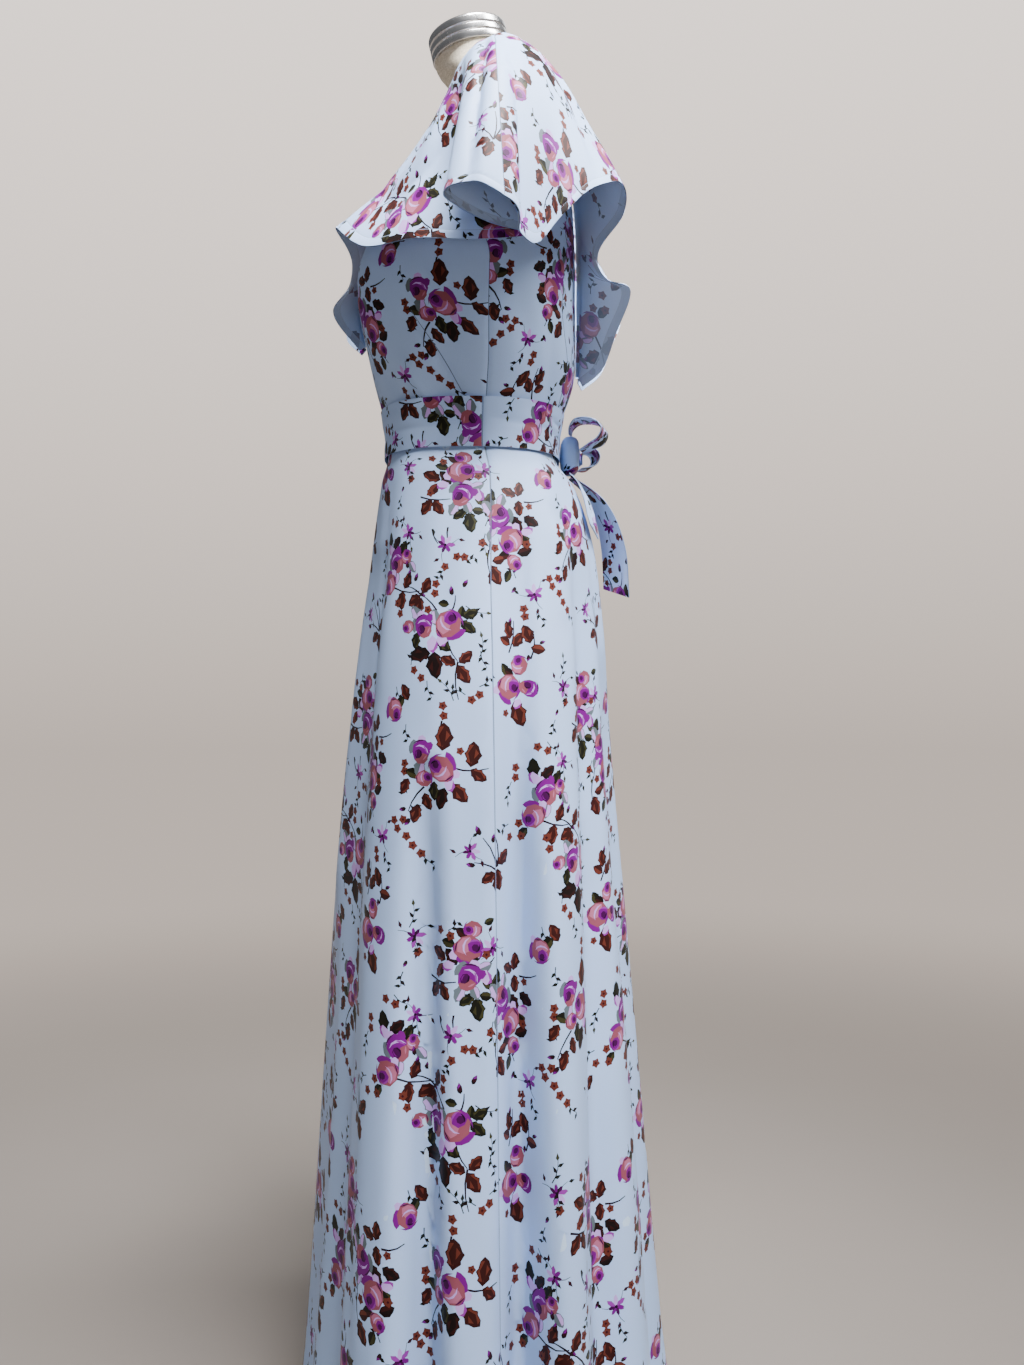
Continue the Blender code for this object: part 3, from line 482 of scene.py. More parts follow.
# Marks of the repeat in painter's order, in chart units from its corner: each run names a kind of
# mark, then x to the right, y down, turn clockwise in degrees from pointing right, size along it
Mark = namedtuple("Mark", "kind x y turn size")
CHART_RUNS = (
    ("stem", (
        (-76, 62, 5, 34), (-13, 50, 325, 12), (36, 72, 350, 24), (3, 104, 104, 18), (-2, 121, 88, 24),
        (-57, 184, 222, 26), (-76, 167, 208, 20), (-46, 212, 66, 27), (-35, 237, 90, 38),
        (-41, 186, 285, 18), (-44, 342, 2, 38), (-74, 362, 125, 30), (60, 400, 8, 38),
        (20, 232, 282, 34), (44, 238, 278, 26), (2, 444, 245, 36), (2, 444, 265, 32), (2, 444, 200, 26),
        (-52, 296, 92, 16), (-62, 98, 68, 17), (-45, 96, 88, 16),
    )),
    ("sprig", (
        (-49, 16, 318, 12), (-6, 96, 276, 22), (-6, 104, 88, 20), (-30, 132, 350, 14),
        (-48, 140, 120, 12), (84, 112, 108, 16), (95, 186, 40, 18), (87, 152, 285, 14),
        (-88, 240, 262, 12), (-68, 256, 72, 18), (-40, 276, 238, 22), (-28, 270, 200, 14),
        (-14, 262, 322, 14), (-13, 232, 278, 20), (-12, 226, 70, 18), (24, 362, 106, 20),
        (80, 258, 285, 22), (72, 300, 100, 14), (20, 404, 150, 16), (62, 322, 35, 16),
        (52, 186, 60, 18), (30, 154, 232, 16), (-26, 180, 20, 22), (-94, 300, 80, 16),
        (88, 336, 96, 22), (-88, 20, 84, 18), (66, 20, 60, 16),
    )),
    ("brown_leaf", ((-66, 60, 312, 13), (-62, 66, 128, 16), (-60, 66, 58, 15), (-52, 44, 205, 17))),
    ("umber_leaf", ((-41, 49, 235, 15), (-30, 24, 222, 12))),
    ("olive_leaf", (
        (-42, 30, 195, 12), (-14, 10, 340, 9), (-24, 78, 150, 14), (-22, 80, 84, 18), (-20, 78, 8, 11),
        (-8, 74, 244, 13), (-6, 78, 290, 16),
    )),
    ("brown_leaf", ((27, 66, 205, 14), (29, 66, 278, 14), (30, 70, 84, 14))),
    ("umber_leaf", ((24, 88, 60, 16), (36, 88, 30, 15))),
    ("olive_leaf", ((34, 106, 62, 14),)),
    ("umber_leaf", ((22, 130, 165, 12), (30, 128, 342, 13))),
    ("brown_leaf", ((1, 138, 345, 12), (0, 142, 62, 18))),
    ("olive_leaf", ((24, 146, 118, 12),)),
    ("brown_leaf", ((-74, 166, 298, 15), (-76, 168, 148, 15), (-75, 170, 104, 16))),
    ("olive_leaf", (
        (-43, 178, 188, 10), (-32, 192, 282, 10), (-30, 191, 338, 14), (-31, 195, 40, 15),
        (-80, 206, 98, 14),
    )),
    ("fern_leaf", ((-80, 204, 250, 10),)),
    ("umber_leaf", ((-64, 228, 172, 20), (-60, 226, 84, 22))),
    ("olive_leaf", ((-56, 214, 40, 14),)),
    ("brown_leaf", (
        (-34, 238, 318, 14), (-35, 240, 58, 17), (-37, 240, 205, 14), (-52, 326, 274, 22),
        (-24, 342, 278, 20), (-24, 344, 35, 15),
    )),
    ("umber_leaf", ((-50, 362, 108, 18),)),
    ("brown_leaf", ((-42, 358, 52, 18),)),
    ("olive_leaf", ((-62, 356, 92, 15), (-78, 352, 200, 13))),
    ("brown_leaf", ((-74, 368, 70, 14), (-80, 380, 110, 15), (-90, 354, 118, 14))),
    ("olive_leaf", ((18, 256, 240, 12),)),
    ("umber_leaf", ((26, 254, 200, 10),)),
    ("brown_leaf", (
        (27, 280, 70, 22), (22, 224, 210, 12), (22, 218, 255, 15), (26, 226, 300, 14),
        (44, 222, 250, 16), (44, 226, 10, 13),
    )),
    ("umber_leaf", ((56, 358, 322, 15),)),
    ("moss_leaf", ((48, 360, 268, 17),)),
    ("olive_leaf", ((70, 366, 302, 14),)),
    ("brown_leaf", ((76, 402, 296, 15), (74, 404, 96, 16))),
    ("olive_leaf", ((44, 408, 130, 12),)),
    ("brown_leaf", ((3, 442, 318, 16), (0, 446, 150, 14), (2, 446, 82, 17), (84, 34, 240, 15))),
    ("olive_leaf", ((78, 30, 130, 13),)),
    ("grey_leaf", (
        (-36, 50, 300, 12), (-22, 54, 340, 13), (-34, 68, 120, 14), (-26, 68, 70, 12), (2, 86, 240, 16),
        (8, 80, 285, 13), (12, 96, 20, 12), (4, 98, 110, 13), (-76, 196, 236, 16), (-58, 200, 262, 14),
        (-74, 334, 110, 15), (84, 372, 60, 12), (66, 382, 100, 13),
    )),
    ("petal", (
        (-20, 56, 40, 17), (-44, 46, 150, 14), (20, 100, 150, 16), (34, 108, 330, 14),
        (-64, 210, 80, 18), (-56, 208, 60, 15), (-48, 352, 70, 15), (56, 362, 210, 15),
        (32, 278, 110, 12),
    )),
    ("pink_rose", ((-25, 15, 200, 9), (-29, 34, 20, 14))),
    ("magenta_rose", ((-29, 61, 120, 13), (8, 89, 250, 13))),
    ("pink_rose", ((22, 115, 150, 14), (27, 138, 60, 9), (-44, 198, 330, 15))),
    ("magenta_rose", ((-72, 200, 80, 12),)),
    ("pink_rose", ((-93, 200, 180, 8),)),
    ("magenta_rose", ((-75, 327, 100, 12),)),
    ("pink_rose", ((-54, 343, 240, 14), (-73, 354, 10, 9), (32, 244, 290, 10), (20, 267, 30, 14))),
    ("magenta_rose", ((42, 268, 200, 10), (64, 372, 60, 13))),
    ("pink_rose", ((50, 396, 170, 13), (80, 368, 300, 8), (64, 44, 90, 12))),
    ("star", (
        (-6, 34, 20, 9), (-48, 115, 100, 9), (49, 171, 60, 9), (85, 267, 200, 9), (-26, 424, 160, 8),
        (-92, 100, 0, 8),
    )),
    ("blossom", (
        (-59, 16, 0, 4), (-47, 21, 30, 4), (-12, 40, 10, 4), (-64, 58, 0, 4), (-35, 128, 0, 4),
        (-27, 129, 40, 4), (-48, 138, 20, 4), (-9, 114, 0, 4), (4, 124, 15, 4), (40, 118, 0, 4),
        (42, 77, 30, 3.5), (-58, 156, 0, 4), (-59, 166, 20, 4), (-67, 183, 0, 4), (-84, 245, 0, 4),
        (-75, 253, 25, 4), (-51, 281, 0, 4), (-50, 291, 30, 4), (-22, 275, 0, 4), (-14, 270, 20, 4),
        (15, 293, 0, 3.5), (38, 186, 0, 4), (39, 194, 30, 4), (67, 154, 0, 4), (78, 153, 20, 4),
        (71, 162, 0, 4), (81, 169, 10, 4), (80, 97, 0, 4), (80, 105, 20, 4), (88, 282, 0, 4),
        (52, 327, 0, 4), (63, 331, 30, 4), (29, 348, 0, 4), (29, 358, 20, 4), (22, 417, 0, 4),
        (34, 404, 10, 4), (37, 417, 30, 4), (66, 417, 0, 4), (70, 428, 20, 4), (-34, 326, 0, 3.5),
        (-88, 420, 0, 4), (-80, 428, 30, 4),
    )),
    ("bud", (
        (-92, 148, 280, 9), (-84, 152, 300, 8), (-94, 138, 262, 9), (-40, 168, 262, 10),
        (-28, 160, 300, 9), (22, 204, 278, 9), (54, 222, 340, 7), (42, 234, 100, 7), (92, 394, 290, 9),
        (98, 408, 20, 8), (94, 418, 70, 9), (-16, 408, 245, 10), (-3, 416, 280, 9), (-22, 438, 190, 9),
        (-90, 394, 130, 9), (-94, 384, 170, 8), (30, 164, 130, 8), (76, 290, 120, 7),
    )),
)
CHART = [Mark(kind, *place) for kind, places in CHART_RUNS for place in places]

LEAF_TONES = {
    "brown_leaf": ("brown", "rust"),
    "umber_leaf": ("umber", "brown"),
    "olive_leaf": ("moss", "olive"),
    "moss_leaf": ("moss", "moss"),
    "fern_leaf": ("olive", "fern"),
    "grey_leaf": ("grey", "lilac"),
}


def around(radii, turns):
    return np.stack([radii * np.cos(turns), radii * np.sin(turns)], axis=1)


def arc(radius, start, end, count, wobble=0.0, lobes=5):
    """Points on an arc, clockwise on the chart, with a soft wobble of its radius."""
    turns = np.radians(np.linspace(start, end, count))
    return around(radius * (1.0 + wobble * np.cos(lobes * turns)), turns)


def disc(radius, count, wobble=0.0, lobes=5, turn=0.0):
    points = arc(radius, 0.0, 360.0, count + 1, wobble, lobes)[:-1]
    return rotated(points, turn)


def rotated(points, turn):
    turn = math.radians(turn)
    cosine = math.cos(turn)
    sine = math.sin(turn)
    return points @ np.array([[cosine, sine], [-sine, cosine]])


def crescent(radius, start, end, thickness, count=5):
    """A curved petal edge: thin at both ends and fullest in the middle."""
    outer = arc(radius, start, end, count)
    inner_radii = radius - thickness * np.sin(np.linspace(0.0, math.pi, count))
    inner = around(inner_radii, np.radians(np.linspace(start, end, count)))
    return np.concatenate([outer, inner[-2:0:-1]])


def leaf(kind, size):
    """A leaf in two tones, its stalk at the start; a larger one is serrated and veined."""
    dark, light = LEAF_TONES[kind]
    large = size > LARGE_LEAF
    size = size * LEAF_GROWTH
    if large:
        along = np.array([0.0, 0.20, 0.30, 0.50, 0.60, 0.84, 1.0])
        wide = np.array([0.0, 0.27, 0.24, 0.37, 0.28, 0.20, 0.0]) * size
    else:
        along = np.array([0.0, 0.24, 0.56, 0.84, 1.0])
        wide = np.array([0.0, 0.28, 0.34, 0.18, 0.0]) * size
    bend = 0.06 * size * np.sin(along * math.pi)
    top = np.stack([along * size, bend - wide], axis=1)
    low = np.stack([along * size, bend + wide * 0.9], axis=1)
    whole = np.concatenate([top, low[-2:0:-1]])
    half = np.concatenate([top[1:-1] * [1.0, 0.84], np.array([[0.86, 0.02], [0.14, 0.02]]) * size])
    parts = [(dark, whole), (light, half)]
    if large and kind != "grey_leaf":
        vein = np.array([[0.1, -0.012], [0.52, -0.16], [0.86, 0.02], [0.5, 0.08]]) * size
        patch = np.array([[0.34, 0.09], [0.72, 0.11], [0.56, 0.25]]) * size
        parts += [(dark, vein), (light, patch)]
    return parts


def stalk(length, width, bow, tone="stem"):
    along = np.linspace(0.0, 1.0, 4)
    middle = np.stack([along * length, bow * length * np.sin(along * math.pi)], axis=1)
    half = width * (1.0 - 0.55 * along) / 2
    shift = np.stack([np.zeros(4), half], axis=1)
    return tone, np.concatenate([middle - shift, (middle + shift)[::-1]])


def sprig(size):
    """A thin twig with small leaves on alternate sides."""
    parts = [stalk(size, 1.1, 0.10, "moss")]
    blade = np.array([[0.0, -0.3], [2.4, -2.1], [7.2, -0.3], [2.7, 1.5]])
    count = max(3, int(size / 4.8))
    for index in range(count):
        share = (index + 0.9) / count
        turn = (-1) ** index * 48.0 + (0.0 if index < count - 1 else 30.0)
        place = np.array([share * size, 0.10 * size * math.sin(share * math.pi)])
        tone = ("moss", "umber", "moss", "olive")[index % 4]
        parts.append((tone, rotated(blade, turn) + place))
    return parts


def blossom(size):
    return [("rust", disc(size * 1.1, 10, 0.18, 5, 8.0)), ("maroon", disc(size * 0.36, 4))]


def star(size):
    """A small open flower with narrow petals and a pale one beside it."""
    petal = np.array([[0.0, 0.0], [0.35, -0.24], [0.82, -0.16], [1.0, 0.04], [0.6, 0.2]]) * size
    parts = [stalk(size * 2.0, 1.0, 0.12), ("stem", rotated(stalk(size * 1.7, 0.9, -0.1)[1], 118.0))]
    parts.append(("stem", rotated(stalk(size * 1.8, 0.9, 0.1)[1], 236.0)))
    for index, turn in enumerate((150, 205, 262)):
        parts.append((("orchid", "lilac", "orchid")[index], rotated(petal * 1.3, turn)))
    for index, turn in enumerate((-40, 12, 62, 108, 310)):
        parts.append((("magenta", "purple")[index % 2], rotated(petal * 1.0, turn)))
    parts.append(("deep", disc(size * 0.2, 5)))
    for index, turn in enumerate((20, 128, 246)):
        blade = np.array([[0.0, -0.4], [3.0, -2.1], [7.8, -0.3], [3.3, 1.6]])
        place = rotated(np.array([[size * 1.7, 0.0]]), turn - 6.0)
        parts.append((("maroon", "moss", "maroon")[index], rotated(blade, turn + 30.0) + place))
    return parts


def bud(size):
    drop = np.array([[0.0, -0.05], [0.25, -0.28], [0.62, -0.24], [1.0, 0.02], [0.6, 0.24], [0.2, 0.25]])
    tip = np.array([[0.42, -0.18], [0.7, -0.16], [1.02, 0.02], [0.66, 0.12]])
    sepal = np.array([[-0.1, 0.0], [0.2, -0.34], [0.42, -0.12], [0.2, 0.0], [0.4, 0.2], [0.12, 0.3]])
    return [("maroon", drop * size), ("magenta", tip * size), ("umber", sepal * size * 0.8)]


def petal(size):
    drop = np.array([[0.0, -0.1], [0.3, -0.36], [0.75, -0.32], [1.0, 0.0], [0.8, 0.3], [0.3, 0.3]])
    edge = np.array([[0.3, -0.36], [0.75, -0.32], [1.0, 0.0], [0.84, 0.24], [0.8, -0.04], [0.56, -0.2]])
    return [("lilac", drop * size), ("orchid", edge * size)]


def blob(x, y, wide, tall, turn, count=9):
    """A rounded petal, a little squarer than an oval."""
    points = disc(1.0, count, 0.05, 4)
    return rotated(points * [wide, tall], turn) + [x, y]


# Petals and brush strokes of a rose whose radius is one, outermost first
Bloom = namedtuple("Bloom", "tone x y wide tall turn")
Stroke = namedtuple("Stroke", "tone radius start end thickness x y")
PINK_ROSE = (
    Bloom("lilac", -0.62, 0.5, 0.5, 0.32, -40), Bloom("magenta", 0.04, 0.76, 0.62, 0.28, 6),
    Bloom("magenta", -0.7, 0.2, 0.36, 0.26, 70), Bloom("salmon", -0.04, -0.02, 0.9, 0.78, -18),
    Bloom("blush", -0.3, -0.12, 0.44, 0.56, 24), Stroke("magenta", 0.92, 296, 398, 0.16, -0.04, 0.0),
    Stroke("purple", 0.88, 150, 200, 0.1, 0.04, 0.06), Stroke("lilac", 0.6, 110, 236, 0.13, 0.16, -0.16),
    Bloom("magenta", 0.28, -0.24, 0.46, 0.42, 24), Stroke("orchid", 0.42, 190, 300, 0.12, 0.28, -0.24),
    Bloom("purple", 0.36, -0.18, 0.26, 0.22, 20), Stroke("deep", 0.34, 310, 420, 0.1, 0.28, -0.22),
    Stroke("salmon", 0.56, 60, 128, 0.11, 0.2, -0.16),
)
MAGENTA_ROSE = (
    Bloom("grey", -0.22, 0.8, 0.54, 0.28, 12), Bloom("lilac", -0.8, 0.1, 0.4, 0.36, 24),
    Bloom("magenta", -0.46, -0.52, 0.44, 0.3, 40), Bloom("magenta", -0.08, 0.02, 0.84, 0.74, 32),
    Bloom("salmon", 0.48, -0.1, 0.38, 0.58, -30), Stroke("lilac", 0.66, 128, 262, 0.16, 0.16, 0.04),
    Stroke("purple", 0.88, 118, 196, 0.13, 0.0, 0.0), Stroke("orchid", 0.5, 190, 276, 0.14, 0.04, 0.0),
    Bloom("purple", 0.2, 0.22, 0.36, 0.3, 18), Stroke("blush", 0.5, 272, 336, 0.12, 0.12, 0.02),
    Stroke("deep", 0.32, 196, 330, 0.1, 0.2, 0.26), Stroke("magenta", 0.24, 20, 150, 0.09, 0.2, 0.22),
)


def rose(kind, size):
    """A full rose: loose outer petals, and a swirl that opens beside its middle."""
    size = size * ROSE_GROWTH
    whole = PINK_ROSE if kind == "pink_rose" else MAGENTA_ROSE
    parts = []
    for item in whole if size > LARGE_ROSE else whole[3:11]:
        if isinstance(item, Bloom):
            shape = blob(item.x, item.y, item.wide, item.tall, item.turn, 9 if item.wide > 0.5 else 7)
        else:
            shape = crescent(item.radius, item.start, item.end, item.thickness) + [item.x, item.y]
        parts.append((item.tone, shape * size))
    return parts


def mark_parts(mark):
    """A mark's coloured outlines, in chart units from the mark's own place."""
    if mark.kind.endswith("leaf"):
        return leaf(mark.kind, mark.size)
    if mark.kind.endswith("rose"):
        return rose(mark.kind, mark.size)
    if mark.kind == "stem":
        return [stalk(mark.size, 2.1, 0.08)]
    makers = {"sprig": sprig, "blossom": blossom, "star": star, "bud": bud, "petal": petal}
    return makers[mark.kind](mark.size)


def repeat_shapes():
    """Every coloured outline of one repeat, with the mark that it belongs to."""
    shapes = []
    for index, mark in enumerate(CHART):
        for tone, points in mark_parts(mark):
            shapes.append((index, tone, rotated(points, mark.turn) + [mark.x, mark.y]))
    return shapes


def print_shapes(chart_low, chart_high, inside, offset):
    """The outlines of the print that reach into a pattern, in painter's order.

    The columns of the repeat stand beside each other, each half a repeat lower than the last.
    """
    shapes = []
    first = math.floor((chart_low[0] - offset[0] - MARK_MARGIN) / COLUMN_STEP)
    last = math.ceil((chart_high[0] - offset[0] + MARK_MARGIN) / COLUMN_STEP)
    for column in range(first, last + 1):
        shift = (column % 2) * REPEAT_DROP / 2
        top = math.floor((chart_low[1] - offset[1] - shift) / REPEAT_DROP) - 1
        bottom = math.ceil((chart_high[1] - offset[1] - shift) / REPEAT_DROP) + 1
        for row in range(top, bottom + 1):
            corner = np.array([offset[0] + column * COLUMN_STEP,
                               offset[1] + row * REPEAT_DROP + shift])
            keep = inside(np.array([[mark.x, mark.y] for mark in CHART]) + corner)
            shapes += [(tone, points + corner) for index, tone, points in REPEAT if keep[index]]
    return shapes


REPEAT = repeat_shapes()


# Cloth surfaces
def as_array(grid):
    return np.array([[tuple(point) for point in line] for line in grid])


def cubic_weights(places, count):
    """The four neighbours of each place on a line of points, and their weights."""
    low = np.clip(np.floor(places).astype(int), 0, count - 2)
    x = places - low
    weights = np.stack([
        -0.5 * x ** 3 + x ** 2 - 0.5 * x,
        1.5 * x ** 3 - 2.5 * x ** 2 + 1.0,
        -1.5 * x ** 3 + 2.0 * x ** 2 + 0.5 * x,
        0.5 * x ** 3 - 0.5 * x ** 2,
    ])
    return low, weights


def padded(field):
    """A grid with one more row and column on each side, carried on straight."""
    field = np.concatenate([2 * field[:1] - field[1:2], field, 2 * field[-1:] - field[-2:-1]])
    left = 2 * field[:, :1] - field[:, 1:2]
    right = 2 * field[:, -1:] - field[:, -2:-1]
    return np.concatenate([left, field, right], axis=1)


def cubic(field, s, t):
    """Values between a grid's points, on smooth curves through them; field is padded."""
    rows = field.shape[0] - 2
    columns = field.shape[1] - 2
    row, row_weights = cubic_weights(t * (rows - 1), rows)
    column, column_weights = cubic_weights(s * (columns - 1), columns)
    total = np.zeros((len(s), field.shape[2]))
    for i in range(4):
        for j in range(4):
            weight = row_weights[i] * column_weights[j]
            total += weight[:, None] * field[row + i, column + j]
    return total


def row_lengths(grid):
    steps = np.linalg.norm(np.diff(grid, axis=1), axis=2)
    return np.concatenate([np.zeros((len(grid), 1)), np.cumsum(steps, axis=1)], axis=1)


def evened(grid, own=1.0):
    """The grid with its columns spaced evenly, by each row's own lengths and by the rows' mean."""
    lengths = row_lengths(grid)
    lengths = lengths / lengths[:, -1:]
    mean = lengths.mean(axis=0)
    columns = grid.shape[1]
    wanted = np.linspace(0.0, 1.0, columns)
    result = np.empty_like(grid)
    for i, line in enumerate(grid):
        have = own * lengths[i] + (1.0 - own) * mean
        places = np.interp(wanted, have, np.arange(columns) / (columns - 1))
        result[i] = cubic(padded(line[None].repeat(3, axis=0)), places, np.full(columns, 0.5))
    return result


# Shares of the pattern where a crease or dart starts and ends, its half width and its depth
Crease = namedtuple("Crease", "s_start t_start s_end t_end width depth")
# Dents and swells beside seams and hems, and how far inside the edge a hem is stitched
SEAM_DENT = 0.0006
SEAM_DENT_WIDTH = 0.0016
STITCH_DENT = 0.00045
STITCH_DENT_WIDTH = 0.0008
HEM_SWELL = 0.00025
HEM_SWELL_WIDTH = 0.0045
HEM_MIDDLE = 0.004
HEM_STITCH = 0.0095
NORMAL_STEP = 0.0012
SHORTEST_SIDE = 0.01
TAPER = 0.7


class Cloth:
    """A cloth surface over shares s (across) and t (down), its creases, and its flat pattern."""

    print_growth = 1.0

    def __init__(self, grid, side, seams=(), creases=(), pivot=None, starts=None, darts=()):
        self.grid = evened(grid)
        self.side = side
        self.seams = seams
        self.creases = creases
        self.darts = darts
        self.rows = np.linspace(0.0, 1.0, len(grid))
        self.widths = row_lengths(self.grid)[:, -1]
        steps = np.linalg.norm(np.diff(self.grid, axis=0), axis=2).mean(axis=1)
        self.drops = np.concatenate([[0.0], np.cumsum(steps)])
        self.starts = -self.widths * pivot if starts is None else starts
        self.finish_setup()

    def finish_setup(self):
        across = np.gradient(self.grid, axis=1)
        down = np.gradient(self.grid, axis=0)
        normals = np.cross(across, down)
        normals /= np.linalg.norm(normals, axis=2)[:, :, None]
        self.padded_grid = padded(self.grid)
        self.padded_normals = padded(normals * self.side)
        self.length = self.down_length()

    def down_length(self):
        return self.drops[-1]

    def width_at(self, s, t):
        return np.interp(t, self.rows, self.widths)

    def height_at(self, s, t):
        return np.full_like(s, self.length)

    def flat(self, s, t):
        u = np.interp(t, self.rows, self.starts) + s * self.width_at(s, t)
        return np.stack([u, np.interp(t, self.rows, self.drops)], axis=1)

    def shares(self, flat):
        t = np.interp(flat[:, 1], self.drops, self.rows)
        beyond = (flat[:, 1] - np.clip(flat[:, 1], self.drops[0], self.drops[-1])) / self.length
        s = (flat[:, 0] - np.interp(t, self.rows, self.starts)) / self.width_at(t, t)
        return s, t + beyond

    def edge_distances(self, s, t):
        wide = self.width_at(s, t)
        tall = self.height_at(s, t)
        return {"first_column": s * wide, "last_column": (1 - s) * wide,
                "first_row": t * tall, "last_row": (1 - t) * tall}

    def beside_line(self, place, line):
        """How far along a crease's or dart's line places lie, how far off it, and its length."""
        ends = self.flat(np.array([line.s_start, line.s_end]), np.array([line.t_start, line.t_end]))
        way = ends[1] - ends[0]
        length = np.linalg.norm(way)
        way = way / length
        off = place - ends[0]
        return off @ way, off @ np.array([-way[1], way[0]]), length

    def relief(self, s, t):
        """How far the creases, seams and hems move the surface out or in."""
        place = self.flat(s, t)
        total = np.zeros_like(s)
        for crease in self.creases:
            along, across, length = self.beside_line(place, crease)
            past = np.clip(along, 0.0, length)
            taper = np.sin(np.pi * np.clip(past / length, 0.0, 1.0)) ** TAPER
            beside = np.hypot(across, (along - past) * TAPER)
            total += crease.depth * taper * np.exp(-(beside / crease.width) ** 2)
        for dart in self.darts:
            along, across, length = self.beside_line(place, dart)
            beside = np.hypot(across, along - np.clip(along, 0.0, length))
            total -= dart.depth * np.exp(-(beside / dart.width) ** 2)
        distances = self.edge_distances(s, t)
        for edge, kind in self.seams:
            distance = distances[edge]
            if kind == "seam":
                total -= SEAM_DENT * np.exp(-(distance / SEAM_DENT_WIDTH) ** 2)
            if kind == "hem":
                total -= STITCH_DENT * np.exp(-((distance - HEM_STITCH) / STITCH_DENT_WIDTH) ** 2)
                total += HEM_SWELL * np.exp(-((distance - HEM_MIDDLE) / HEM_SWELL_WIDTH) ** 2)
        return total

    def surface(self, s, t):
        points = cubic(self.padded_grid, s, t)
        normals = cubic(self.padded_normals, s, t)
        normals /= np.linalg.norm(normals, axis=1)[:, None]
        return points + normals * self.relief(s, t)[:, None]

    def normals(self, s, t):
        across = NORMAL_STEP / np.maximum(self.width_at(s, t), SHORTEST_SIDE)
        down = NORMAL_STEP / np.maximum(self.height_at(s, t), SHORTEST_SIDE)
        right = self.surface(np.minimum(s + across, 1.0), t)
        left = self.surface(np.maximum(s - across, 0.0), t)
        low = self.surface(s, np.minimum(t + down, 1.0))
        high = self.surface(s, np.maximum(t - down, 0.0))
        normals = np.cross(right - left, low - high) * self.side
        return normals / np.maximum(np.linalg.norm(normals, axis=1), 1e-12)[:, None]

    def lifted(self, flat, lift):
        """Points of the pattern lifted off the cloth's surface, and their normals."""
        s, t = np.clip(self.shares(flat), 0.0, 1.0)
        normals = self.normals(s, t)
        return self.surface(s, t) + normals * lift, normals


class Fan(Cloth):
    """A cloth surface whose flat pattern is a part of a ring, as a circular-cut flounce is."""

    print_growth = 1.04

    def __init__(self, grid, side, seams=(), creases=()):
        self.grid = evened(grid, 0.6)
        self.side = side
        self.seams = seams
        self.creases = creases
        self.darts = ()
        lengths = row_lengths(self.grid)
        columns = np.linalg.norm(np.diff(self.grid, axis=0), axis=2).sum(axis=0)
        self.columns = np.linspace(0.0, 1.0, self.grid.shape[1])
        self.depths = columns
        mean = columns.mean()
        self.spread = 0.66 * (lengths[-1, -1] - lengths[0, -1]) / mean
        self.inner = lengths[0, -1] / self.spread
        self.drops = np.concatenate([[0.0], np.cumsum(np.linalg.norm(
            np.diff(self.grid, axis=0), axis=2).mean(axis=1))])
        self.rows = self.drops / self.drops[-1]
        even = np.linspace(0.0, 1.0, len(grid))
        places = np.interp(even, self.rows, even)
        every = np.linspace(0.0, 1.0, self.grid.shape[1])
        field = padded(self.grid)
        self.grid = np.stack([cubic(field, every, np.full_like(every, place)) for place in places])
        self.finish_setup()

    def down_length(self):
        return self.depths.mean()

    def width_at(self, s, t):
        return (self.inner + t * self.height_at(s, t)) * self.spread

    def height_at(self, s, t):
        return np.interp(s, self.columns, self.depths)

    def flat(self, s, t):
        turn = (s - 0.5) * self.spread
        radius = self.inner + t * self.height_at(s, t)
        return np.stack([radius * np.sin(turn), radius * np.cos(turn)], axis=1)

    def shares(self, flat):
        turn = np.arctan2(flat[:, 0], flat[:, 1])
        s = turn / self.spread + 0.5
        radius = np.linalg.norm(flat, axis=1)
        return s, (radius - self.inner) / self.height_at(np.clip(s, 0, 1), s)


# Cutting the print into the cloth; the patterns are cut in millimetres
Cut = namedtuple("Cut", "flat triangles tones")
MILLIMETRES = 1000.0
MARK_REACH = 0.024
# Sewing lines: their widths, and how far inside the edge a seam's line runs. The seam and dart lines are
# dark strips of painted shade along their grooves; the hem's line is its thread
THREAD_WIDTH = 0.0006
SEAM_LINE = 0.0003
SEAM_LINE_WIDTH = 0.0004
DART_LINE_WIDTH = 0.0008


def turns_left(points):
    """Whether an outline runs counter-clockwise."""
    after = np.roll(points, -1, axis=0)
    return (points[:, 0] * after[:, 1] - points[:, 1] * after[:, 0]).sum() > 0.0


def counter_clockwise(points):
    return points if turns_left(points) else points[::-1]


def line_places(spacing, length, extra):
    """Even places along a pattern's side, and more close to its seams."""
    count = max(2, int(round(length / spacing)))
    places = list(np.linspace(0.0, 1.0, count + 1)[1:-1])
    places += [place / length for place in extra if place < 0.4 * length]
    return sorted(places)


def inner_points(cloth, across, down):
    """Points inside the pattern, with lines of them beside seams and along hems."""
    offsets = {"seam": (0.0012, 0.0028, 0.0050), "hem": (0.0040, 0.0083, HEM_STITCH, 0.0107)}
    kinds = dict(cloth.seams)
    middle = np.array([0.5])
    wide = float(cloth.width_at(middle, middle)[0])
    tall = float(cloth.height_at(middle, middle)[0])
    sides = {edge: offsets.get(kinds.get(edge), ()) for edge in
             ("first_row", "last_row", "first_column", "last_column")}
    downs = set(line_places(down, tall, sides["first_row"]))
    downs |= {1.0 - offset / tall for offset in sides["last_row"]}
    found = []
    for row in sorted(downs):
        width = float(cloth.width_at(middle, np.array([row]))[0])
        columns = set(line_places(across, width, sides["first_column"]))
        columns |= {1.0 - offset / width for offset in sides["last_column"]}
        found += [(column, row) for column in columns if 0.0 < column < 1.0]
    for dart in cloth.darts:
        share = np.linspace(0.0, 1.0, 30)
        slip = 0.0022 / wide
        for shift in (-slip, slip):
            found += list(zip(mix(dart.s_start, dart.s_end, share) + shift,
                              mix(dart.t_start, dart.t_end, share)))
    return np.array(found)


